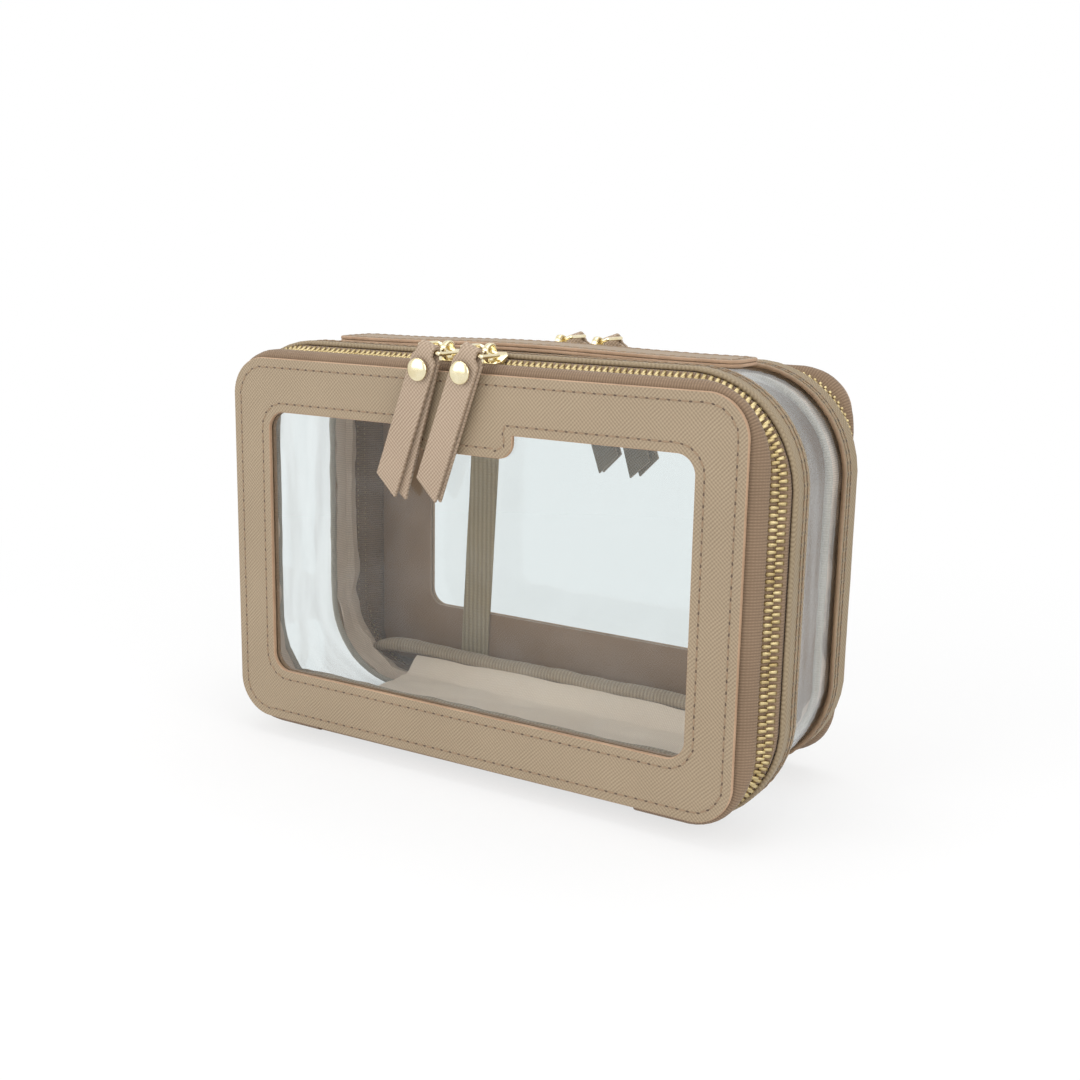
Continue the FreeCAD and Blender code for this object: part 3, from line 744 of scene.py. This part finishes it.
def bandPoint(outline, run):
    wide, high, radius, y = outline
    flatWide, flatHigh = wide / 2 - radius, high / 2 - radius
    side = 1 if run >= 0 else -1
    run = abs(run)
    arc = radius * math.pi / 2
    upper = run <= flatWide + arc + flatHigh
    if not upper:
        run = 2 * (flatWide + arc + flatHigh) - run
    if run <= flatWide:
        x, z = run, high / 2
    elif run <= flatWide + arc:
        swing = (run - flatWide) / radius
        x, z = flatWide + radius * math.sin(swing), flatHigh + radius * math.cos(swing)
    else:
        x, z = wide / 2, flatHigh - (run - flatWide - arc)
    return Vector((side * x, y, midHeight + (z if upper else -z)))


# a spot on a band, the way along it and the way out of its slope
def bandPlace(end, depth, run, lift, outlineAt):
    outline = outlineAt(end, depth)
    here = bandPoint(outline, run)
    along = bandPoint(outline, run + 0.4) - bandPoint(outline, run - 0.4)
    away = Vector((along.z, 0, -along.x)).normalized()  # straight out of the outline
    if away.dot(here - Vector((0, 0, midHeight))) < 0:
        away = -away
    near, far = outlineAt(end, depth - 1), outlineAt(end, depth + 1)
    growWide, growHigh = (far[0] - near[0]) / 4, (far[1] - near[1]) / 4
    grow = abs(away.x) * growWide + abs(away.z) * growHigh
    slope = away * grow - Vector((0, outward[end], 0))
    up = along.cross(slope).normalized()
    if up.dot(away) < 0:
        up = -up
    return here + up * lift, along.normalized(), up


tooth = toothShape()
for end in ends:
    shortened = zipTape["bottomGap"] + zipTooth["endGap"]
    count = int(2 * (halfRun(bevelOutline(end, zipTooth["middle"])) - shortened) / zipTooth["pitch"])
    for row, depth in zipTooth["rows"].items():
        reach = halfRun(bevelOutline(end, depth)) - shortened
        offset = 0.5 if row == "case" else 0  # the rows mesh half a pitch apart
        inwards = Vector((0, -outward[end] if row == "panel" else outward[end], 0))
        places = []
        for number in range(count):
            run = (number + 0.5 + offset - count / 2) / (count / 2) * reach
            spot, along, up = bandPlace(end, depth, run, zipTooth["lift"], bevelOutline)
            if up.cross(along).dot(inwards) < 0:
                along = -along
            places.append(placeOn(spot, along, up))
        teeth = copyAlong(tooth, places, f"{end}{row.capitalize()}Teeth")
        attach(teeth, f"{end}_panel" if row == "panel" else "case")
        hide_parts(f"{end}_teeth_{row}")
bpy.data.objects.remove(tooth, do_unlink=True)
print("teeth set")

leatherBand = {
    "edge": 26, "paintReach": 0.45, "stitchDepths": (20.9, 23.6), "stitchPitch": 3.9, "stitchInset": 0.42,
    "stitchLift": 0.05, "section": [
        (14.0, 1.0), (14.15, 0.5), (14.6, 0.12), (15.4, 0.0), (16.4, 0.1), (17.6, 0.32), (20, 0.38),
        (21, 0.48), (22.2, 0.36), (23.6, 0.5), (24.8, 0.3), (25.6, 0.3), (25.95, 0.7), (25.9, 1.4),
        (25.3, 1.95), (22, 2.0), (17, 2.0), (14.6, 1.85), (14.1, 1.5),
    ],
}


def seamOutline(end, depth):
    return bandOutline(end, depth, leatherBand["stitchInset"])


for end in ends:
    stations = [bandOutline(end, *station) for station in leatherBand["section"]]
    band = ringPiece(f"{end}LeatherBand", stations)
    wrinkle(band, 0.22, 16, "bandWrinkle")
    mapAround(band, bandOutline(end, 20, 0))
    finishOff(band, 60, bandLeather, bandEdgePaint)
    edgeY = depthY(end, leatherBand["edge"]) * mm
    dressWhere(band, 1, lambda face: abs(edgeY - face.center.y) < leatherBand["paintReach"] * mm)
    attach(band, "case")
    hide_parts(f"{end}_gusset")
    places = []
    for depth in leatherBand["stitchDepths"]:
        half = halfRun(seamOutline(end, depth))
        count = int(2 * half / leatherBand["stitchPitch"])
        for number in range(count):
            run = (number + 0.5) / count * 2 * half - half
            places.append(placeOn(*bandPlace(end, depth, run, leatherBand["stitchLift"], seamOutline)))
    seam = copyAlong(stitch, places, f"{end}BandStitches")
    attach(seam, "case")
print("leather bands wrapped")

clearWrap = {"thick": 0.5, "sag": 0.9, "stations": 11, "depth": 20.2, "inset": 2.35}
first, last = [bandOutline(end, clearWrap["depth"], clearWrap["inset"]) for end in ends]
stations = []
for number in range(clearWrap["stations"]):
    t = number / (clearWrap["stations"] - 1)
    sag = clearWrap["sag"] * math.sin(math.pi * t) ** 2
    wide, high, radius, y = (a + (b - a) * t for a, b in zip(first, last))
    stations.append((wide - 2 * sag, high - 2 * sag, radius - sag, y))
wrap = ringPiece("clearBandWrap", stations, closed=False)
wrinkle(wrap, 0.7, 26, "clearWave", 1)
thicken(wrap, clearWrap["thick"])
mapAround(wrap, bandOutline("front", 26, clearWrap["inset"]))
finishOff(wrap, 60, clearBand)
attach(wrap, "case")
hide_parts("clear_gusset")
print("clear band wrapped")

innerLining = {
    "thick": 0.8, "wrinkle": 1.8, "slack": 1.5, "sewnDepth": 30, "loosensOver": 6,
    "section": [  # with a furrow halfway
        (15.8, 3.6), (17.5, 3.9), (19.3, 4.1), (21, 4.0), (22.3, 6.3), (23.6, 4.0), (25.6, 4.3),
        (27.8, 4.2), (29.4, 3.9), (30, 3.9),
    ],
}
liningPipe = {"radius": 1.3, "depth": 31.35, "inset": 4.6, "steps": 10}
for end in ends:
    stations = [bandOutline(end, *station) for station in innerLining["section"]]
    lining = ringPiece(f"{end}Lining", stations, closed=False, cutsWide=70, cutsHigh=40)
    for vert in lining.data.vertices:  # slack cloth: soft folds that deepen towards the lower corners
        x, y, z = vert.co / mm
        slack = innerLining["slack"] * (1 + max(0, midHeight - z) / midHeight)
        loose = min(1, abs(y - depthY(end, innerLining["sewnDepth"])) / innerLining["loosensOver"])
        inwards = Vector((-x, 0, midHeight - z)).normalized()
        fold = slack * (0.5 + noise.noise(Vector((x / 9, y / 10, z / 9))))
        drift = slack * loose * noise.noise(Vector((x / 16, 5.2, z / 16)))
        vert.co += (inwards * max(0, fold) + Vector((0, drift, 0))) * mm
    wrinkle(lining, innerLining["wrinkle"], 9, "liningCrease", 2, 0.62)
    thicken(lining, innerLining["thick"])
    mapAround(lining, bandOutline(end, 22, 4))
    finishOff(lining, 60, liningCloth)
    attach(lining, "case")
    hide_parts(f"{end}_lining")
    stations = []
    for step in range(liningPipe["steps"]):
        angle = 2 * math.pi * step / liningPipe["steps"]
        depth = liningPipe["depth"] + liningPipe["radius"] * math.cos(angle)
        stations.append(bandOutline(end, depth, liningPipe["inset"] + liningPipe["radius"] * math.sin(angle)))
    pipe = ringPiece(f"{end}Piping", stations)
    wrinkle(pipe, 0.8, 11, "pipingLump")
    mapAround(pipe, bandOutline(end, 31, liningPipe["inset"]))
    finishOff(pipe, 70, pipingCloth)
    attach(pipe, "case")
    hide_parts(f"{end}_lining_piping")
print("linings and piping sewn in")


# floor, bindings, elastic and hinge strips
floorSheet = {
    "wide": 150, "flatHalf": 20, "edgeHalf": 27.4, "low": 10.05, "high": 17.4, "thick": 1.0,
    "lift": 0.35, "swell": 3.6, "swellBase": 0.26, "wander": 1.6,
}
flatHalf = floorSheet["flatHalf"]
leanOut, leanUp = floorSheet["edgeHalf"] - flatHalf, floorSheet["high"] - floorSheet["low"]
rise = math.hypot(leanOut, leanUp)
floorLength = 2 * (flatHalf + rise)
floor = begin("floorLining", bpy.ops.mesh.primitive_grid_add, x_subdivisions=90, y_subdivisions=48, size=1)
sizeBy(floorSheet["wide"] * mm, floorLength * mm, 1)
closeEdit()
for vert in floor.data.vertices:  # the edges turn up to the bindings, the middle lies in soft swells
    x, s = vert.co.x / mm, vert.co.y / mm
    over = max(0, abs(s) - flatHalf) / rise
    soft = over * over * (3 - 2 * over) * 0.35 + over * 0.65
    y = math.copysign(min(abs(s), flatHalf) + over * leanOut, s)
    z = floorSheet["low"] + soft * leanUp + floorSheet["lift"]
    swell = noise.noise(Vector((x / 34, s / 13, 3.1))) * 0.6 + noise.noise(Vector((x / 11, s / 7, 8.4))) * 0.4
    stray = noise.noise(Vector((s / 11, x / 75, 5.7))) * abs(2 * x / floorSheet["wide"]) ** 4
    x += floorSheet["wander"] * stray
    vert.co = Vector((x, y, z + floorSheet["swell"] * (0.5 * swell + floorSheet["swellBase"]))) * mm
thicken(floor, floorSheet["thick"])
finishOff(floor, 60, floorCloth)
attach(floor, "case")
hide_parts("floor_lining")

binding = {
    "radius": 3.1, "half": {"front": 104, "rear": 101}, "y": 30, "z": 20.75,
    "taper": 15, "slim": 0.35, "dip": 3.3, "sway": 0.6, "cuts": 70,
}
for end in ends:
    side, half = outward[end], binding["half"][end]
    tube = {"vertices": 20, "radius": binding["radius"] * mm, "depth": 2 * half * mm}
    roll = begin(f"{end}BindingRoll", bpy.ops.mesh.primitive_cylinder_add, **tube)
    turnBy(math.pi / 2, "Y")
    choose(roll, "faces", lambda f: abs(f.normal.x) > 0.9)
    bpy.ops.mesh.inset(thickness=0.9 * mm)
    drawOut(0, 0, 0)
    sizeBy(1.003, 0.6, 0.6)
    choose(roll, "edges", lambda e: abs(e.verts[0].co.x - e.verts[1].co.x) > 0.1)
    bpy.ops.mesh.subdivide(number_cuts=binding["cuts"])
    closeEdit()
    for vert in roll.data.vertices:  # the ends thin out and dip into the lining's corners
        x, y, z = vert.co / mm
        over = (max(0, abs(x) - half + binding["taper"]) / binding["taper"]) ** 2
        slim, dip = 1 - binding["slim"] * over, binding["dip"] * over
        sway = binding["sway"] * noise.noise(Vector((x / 23, side * 4, 1.7)))
        y = side * binding["y"] + y * slim + sway
        vert.co = Vector((x, y, binding["z"] + z * slim - dip + 0.6 * sway)) * mm
    wrinkle(roll, 0.9, 7, "bindingLump")
    finishOff(roll, 60, bindingCloth)
    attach(roll, "case")
    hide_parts(f"{end}_binding")

elastic = {"wide": 14, "x": -52, "y": 42.55, "low": 14, "high": 146, "thick": 0.9, "lean": 0.05}
strap = begin("elasticBand", bpy.ops.mesh.primitive_grid_add, x_subdivisions=12, y_subdivisions=60, size=1)
sizeBy(elastic["wide"] * mm, (elastic["high"] - elastic["low"]) * mm, 1)
turnBy(math.pi / 2, "X")
moveBy(elastic["x"], elastic["y"], (elastic["low"] + elastic["high"]) / 2)
closeEdit()
for vert in strap.data.vertices:
    vert.co.x += elastic["lean"] * (vert.co.z - midHeight * mm)
wrinkle(strap, 0.3, 20, "elasticWave", 1)
thicken(strap, elastic["thick"])
softenEdges(strap, 0.25, 2)
finishOff(strap, 40, elasticCloth)
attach(strap, "rear_panel")
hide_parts("elastic_strap")


# a plane squeezed to a line, drawn out along (y, z, share of the width) and left open for editing
def stripAlong(name, wide, trail, thin=0.001):
    strip = begin(name, bpy.ops.mesh.primitive_plane_add, size=1 * mm)
    sizeBy(wide, thin, 1)
    bpy.ops.mesh.remove_doubles(threshold=2 * thin * mm)
    moveBy(0, *trail[0][:2])
    for (y0, z0, w0), (y1, z1, w1) in zip(trail, trail[1:]):
        step = (0, (y1 - y0) * mm, (z1 - z0) * mm)
        bpy.ops.mesh.extrude_edges_move(TRANSFORM_OT_translate={"value": step})
        if w1 != w0:
            bpy.ops.transform.resize(value=(w1 / w0, 1, 1), center_override=(0, 0, 0))
    return strip


hingeStrip = {"half": 70, "thick": 1.5, "softEdge": 0.4, "cuts": 50, "line": {
    "front": [(13.8, 2.7), (12, 3.2), (10, 4.1), (8, 5.1), (6.4, 5.9), (5.0, 6.3)],
    "rear": [(13.8, 4.3), (12, 4.4), (10, 4.6), (8, 5.0), (6.4, 5.5), (5.0, 6.0)],
}}
for end in ends:
    line = hingeStrip["line"][end]
    trail = [(depthY(end, depth), z, 1) for depth, z in line]
    strip = stripAlong(f"{end}HingeLeather", 2 * hingeStrip["half"], trail, 1)
    choose(strip, "edges", lambda e: abs(e.verts[0].co.x - e.verts[1].co.x) > 0.05)
    bpy.ops.mesh.subdivide(number_cuts=hingeStrip["cuts"])
    thicken(strip, hingeStrip["thick"])
    softenEdges(strip, hingeStrip["softEdge"])
    finishOff(strip, 50, topLeather)
    depthY(end, 13) * mm
    depthY(end, 5.6) * mm
    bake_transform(strip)
    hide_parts(f"{end}_hinge")
print("floor, bindings, elastic and hinges in")


# handle: two leather layers with a slight rise
handle = {
    "length": 174, "span": 144, "wide": 22, "layer": 1.3, "parting": 0.05, "rise": 1.2, "corner": 4,
    "softEdge": 0.35, "stitchInset": 2.6, "stitchCorner": 3, "stitchPitch": 3.9,
}


def handleLift(x):
    share = min(1, abs(x) / (handle["span"] / 2))
    return handle["rise"] * (1 + math.cos(math.pi * share)) / 2


for layer in ("lower", "upper"):
    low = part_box(f"handle_{layer}")[0][2] / mm
    grid = {"x_subdivisions": 80, "y_subdivisions": 6, "size": 1}
    strap = begin(f"{layer}HandleLeather", bpy.ops.mesh.primitive_grid_add, **grid)
    sizeBy(handle["length"] * mm, handle["wide"] * mm, 1)
    closeEdit()
    ahead, side, corner = handle["length"] / 2, handle["wide"] / 2, handle["corner"]
    for vert in strap.data.vertices:  # rounded ends, and the rise over the span
        x, y = vert.co.x / mm, vert.co.y / mm
        over = max(0, abs(x) - (ahead - corner)) / corner
        y *= 1 - (corner / side) * (1 - math.sqrt(max(0, 1 - over * over)))
        vert.co = Vector((x, y, low + handle["layer"] / 2 + handleLift(x))) * mm
    thicken(strap, handle["layer"] - handle["parting"], material_offset_rim=1)
    softenEdges(strap, handle["softEdge"])
    finishOff(strap, 50, topLeather, edgePaint)
    dressWhere(strap, 1, lambda face: abs(face.normal.z) < 0.75)
    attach(strap, "case")
    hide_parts(f"handle_{layer}")
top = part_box("handle_upper")[0][2] / mm + handle["layer"]
inset = handle["stitchInset"]
wide, high = handle["length"] - 2 * inset, handle["wide"] - 2 * inset
corners = boxCorners(wide, high, handle["stitchCorner"])
places = []
for spot, along in evenSteps(softLine(corners), handle["stitchPitch"]):
    slope = (handleLift(spot.x + 0.5) - handleLift(spot.x - 0.5)) * along.x
    at = Vector((spot.x, spot.y, top + handleLift(spot.x)))
    places.append(placeOn(at, Vector((along.x, along.y, slope)), Vector((0, 0, 1))))
seam = copyAlong(stitch, places, "handleStitches")
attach(seam, "case")
print("handle laid on")


# sliders, pulls and rivets, each modelled once and set in its place
runner = {
    "body": 7.44, "bodyAt": -0.4, "wide": 8.4, "plateLow": 1.05, "plateTop": 2.25, "plateEdge": 0.3,
    "nose": 2.6, "noseTaper": (1, 0.62, 0.9), "tail": 1.6, "tailTaper": (1, 0.5, 0.9),
    "lip": 0.1, "hollowInset": 0.8, "hollow": 0.25,
    "archSpan": 5.6, "archWide": 2.2, "archFoot": 1.75, "archTop": 6.85, "archThick": 0.9, "archEdge": 0.28,
}


def sliderShape():
    plate = begin("plate", bpy.ops.mesh.primitive_cube_add, size=1 * mm)
    thick = runner["plateTop"] - runner["plateLow"]
    sizeBy(runner["body"], runner["wide"], thick)
    moveBy(runner["bodyAt"], 0, runner["plateLow"] + thick / 2)
    choose(plate, "faces", lambda f: f.normal.x > 0.9)  # broad nose towards the middle of the zip
    drawOut(runner["nose"], 0, 0)
    sizeBy(*runner["noseTaper"])
    choose(plate, "faces", lambda f: f.normal.x < -0.9)  # narrow tail
    drawOut(-runner["tail"], 0, 0)
    sizeBy(*runner["tailTaper"])
    choose(plate, "faces", lambda f: abs(f.normal.y) > 0.9)  # lips along the sides
    bpy.ops.mesh.inset(thickness=runner["lip"] * mm)
    choose(plate, "faces", lambda f: f.normal.z < -0.9)  # hollow underneath
    bpy.ops.mesh.inset(thickness=runner["hollowInset"] * mm)
    drawOut(0, 0, runner["hollow"])
    outwardFaces(plate)
    softenEdges(plate, runner["plateEdge"], angle=30)
    half, crown = runner["archSpan"] / 2, runner["archTop"]
    trail = [(-half, runner["archFoot"], 1), (-half, 4.6, 1), (-half * 0.93, 5.6, 1)]
    trail += [(-half * 0.72, 6.35, 1), (-half * 0.38, crown - 0.08, 1), (0, crown, 1)]
    trail += [(-y, z, w) for y, z, w in reversed(trail[:-1])]
    arch = stripAlong("arch", runner["archWide"], trail)
    thicken(arch, runner["archThick"])
    softenEdges(arch, runner["archEdge"])
    slider = joinAll([plate, arch], "slider")
    openEdit(slider)
    bpy.ops.mesh.dissolve_degenerate(threshold=0.01 * mm)
    closeEdit()
    finishOff(slider, 50, brightGold)
    return slider


pullForm = {
    "wide": 10.5, "length": 53, "layer": 1.45, "side": 1.1, "loop": 1.78, "loopWide": 0.63, "slant": 5,
    "softEdge": 0.3, "splay": {"left": 3.4, "right": 0.7},
}


def pullShape(splay):
    side, loop, length, slant = (pullForm[key] for key in ("side", "loop", "length", "slant"))
    front = [(-side, length * (step / 5 - 1), 1) for step in range(5)]
    front += [(-side - 0.1, -4.4, 1), (-side - 0.25, -3.4, 0.97)]
    front += [(-side - 0.45, -2.5, 0.84), (-loop - 0.02, -1.7, 0.68)]
    turns = (0, 0.52, 1.05, 1.57, 2.09, 2.62, math.pi)
    over = [(-loop * math.cos(a), loop * math.sin(a), pullForm["loopWide"]) for a in turns]
    back = [(-y, z, w) for y, z, w in reversed(front)]
    pull = stripAlong("pull", pullForm["wide"], front + over + back)
    for way in (1, -1):  # slanted end, longer on one side
        choose(pull, "verts", lambda v: v.co.z < (1 - length) * mm and v.co.x * way > 0)
        moveBy(0, 0, -way * slant / 2)
    choose(pull, "verts", lambda v: v.co.y > 0 and v.co.z < -5 * mm)  # the back layer stands a little aside
    turnBy(math.radians(splay), "Y")
    thicken(pull, pullForm["layer"], material_offset_rim=1)
    dress(pull, pullLeather, pullEdgePaint)
    softenEdges(pull, pullForm["softEdge"], 2, 55)
    smoothOver(pull, 50)
    return pull


rivetForm = {"radius": 4.1, "dome": 1.35, "rim": 0.2, "drop": 7.5, "seat": 2.0}


def rivetShape():
    ball = {"segments": 32, "ring_count": 16, "radius": rivetForm["radius"] * mm}
    rivet = begin("rivet", bpy.ops.mesh.primitive_uv_sphere_add, **ball)
    bpy.ops.mesh.bisect(plane_co=(0, 0, 0), plane_no=(0, 0, 1), clear_inner=True, use_fill=True)
    bpy.ops.mesh.select_all(action="SELECT")
    sizeBy(1, 1, rivetForm["dome"] * (1 - rivetForm["rim"]) / rivetForm["radius"])
    choose(rivet, "faces", lambda f: f.normal.z < -0.9)
    drawOut(0, 0, -rivetForm["dome"] * rivetForm["rim"])
    bpy.ops.mesh.select_all(action="SELECT")
    bpy.ops.mesh.normals_make_consistent(inside=False)
    turnBy(-math.pi / 2, "X")  # the dome looks out of the front face
    moveBy(0, -rivetForm["seat"], -rivetForm["drop"])
    closeEdit()
    finishOff(rivet, 50, brightGold)
    return rivet


# where the sliders sit along each zip, and the bars of the rings that the pulls hang from
slideSpots = {
    "front": {"left": -12, "right": 6, "tilt": 25.9, "line": (-37.1, 155.09), "bar": (-50.3, 159.586)},
    "rear": {"left": -5.5, "right": 11.5, "tilt": 17.16, "line": (-37.1, 153.75), "bar": (-50.3, 158.524)},
    "pullLean": 20,
}


def setAt(x, spot, angle, axis):
    return Matrix.Translation(Vector((x, *spot)) * mm) @ Matrix.Rotation(math.radians(angle), 4, axis)


slider, rivet = sliderShape(), rivetShape()
pulls = {side: pullShape(pullForm["splay"][side]) for side in sides}
for end in ends:
    spots = slideSpots[end]
    about = Matrix.Rotation(0 if end == "front" else math.pi, 4, "Z")
    for side in sides:
        flip = Matrix.Rotation(0 if side == "left" else math.pi, 4, "Z")
        seat = about @ setAt(spots[side], spots["line"], spots["tilt"], "X") @ flip
        hang = about @ setAt(spots[side], spots["bar"], slideSpots["pullLean"], "Y")
        for template, place, role, slot in (
            (slider, seat, "slider", "zip_metal"),
            (pulls[side], hang, "pull", "pull_leather"),
            (rivet, hang, "rivet", "zip_metal"),
        ):
            piece = copyAlong(template, [place], f"{end}{side.capitalize()}{role.capitalize()}", 50)
            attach(piece, f"{end}_{side}_{'slider' if role == 'slider' else 'pull'}_body")
            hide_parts(f"{end}_{side}_{role}")
for template in (slider, rivet, stitch, *pulls.values()):
    bpy.data.objects.remove(template, do_unlink=True)
print("sliders, pulls and rivets hung")


# camera, light and a pale floor
photoView = {
    "place": (0.27767, -0.44252, 0.19498), "yaw": 0.5538, "pitch": 0.2083, "roll": 0.0191,
    "lens": 46.096, "sensor": 36, "nearest": 0.01,
}
yaw, pitch, roll = photoView["yaw"], photoView["pitch"], photoView["roll"]
back = Vector((math.sin(yaw) * math.cos(pitch), -math.cos(yaw) * math.cos(pitch), math.sin(pitch)))
right = Vector((math.cos(yaw), math.sin(yaw), 0))
up = back.cross(right)
turnedRight = right * math.cos(roll) + up * math.sin(roll)
turnedUp = up * math.cos(roll) - right * math.sin(roll)
axes = Matrix((turnedRight, turnedUp, back)).transposed().to_4x4()
lens = bpy.data.cameras.new("photoCamera")
lens.lens, lens.sensor_width, lens.clip_start = photoView["lens"], photoView["sensor"], photoView["nearest"]
camera = bpy.data.objects.new("photoCamera", lens)
camera.matrix_world = Matrix.Translation(photoView["place"]) @ axes
bpy.context.scene.collection.objects.link(camera)
bpy.context.scene.camera = camera

studio = {
    "world": 0.62, "aim": (0, 0, 0.08),
    "lamps": [  # name, place, size and power
        ("softKey", (-0.5, -1.0, 0.6), 1.0, 6.4),
        ("softFill", (1.0, -0.5, 0.6), 1.0, 5),
        ("softTop", (0.0, 0.1, 1.3), 1.2, 6.5),
    ],
    "groundSize": 12, "groundLow": -0.0004, "groundGlow": 0.7, "glowRises": (0.18, 0.5),
}
for name, place, size, power in studio["lamps"]:
    lamp = bpy.data.lights.new(name, "AREA")
    lamp.size, lamp.energy = size, power
    holder = bpy.data.objects.new(name, lamp)
    holder.location = place
    holder.rotation_euler = (Vector(studio["aim"]) - Vector(place)).to_track_quat("-Z", "Y").to_euler()
    bpy.context.scene.collection.objects.link(holder)


# 1 for what the camera sees, straight or by way of gloss and clear sheets
def plainlySeen(wire):
    kinds = ("Is Camera Ray", "Is Glossy Ray", "Is Transmission Ray")
    straight, glossy, through = (wire.node("ShaderNodeLightPath", out=kind) for kind in kinds)
    return wire.maths("MAXIMUM", wire.maths("MAXIMUM", straight, glossy), through)


world = bpy.data.worlds.new("paleStudio")
bpy.context.scene.world = world
world.use_nodes = True
wire = Wire(world.node_tree)
strength = plainlySeen(wire) * (1 - studio["world"]) + studio["world"]
wire.plug(world.node_tree.nodes["Background"], {"Color": (1, 1, 1, 1), "Strength": strength})

freshStart()
bpy.ops.mesh.primitive_plane_add(size=studio["groundSize"], location=(0, 0, studio["groundLow"]))
ground = bpy.context.object
ground.name = "paleFloor"
bpy.ops.object.transform_apply(location=True, rotation=True, scale=True)
groundFinish, wire, shader = newFinish("paleFloor")
feed(wire, shader, Base_Color=(0.9, 0.9, 0.9, 1), Roughness=0.95, Specular_IOR_Level=0.1)
glow = wire.node("ShaderNodeEmission", sockets={"Color": (1, 1, 1, 1), "Strength": 1.0})
spot = surfaceSpot(wire, "xy")
away = wire.node("ShaderNodeVectorMath", {"operation": "LENGTH"}, {0: spot}, out=1)
share = studio["groundGlow"] + (1 - studio["groundGlow"]) * away.between(*studio["glowRises"])
mixShaders(wire, plainlySeen(wire) * share, Wire(wire.tree, shader.outputs[0]), glow)
dress(ground, groundFinish)
bpy.context.scene.view_settings.view_transform = "Standard"
print("camera and light set")
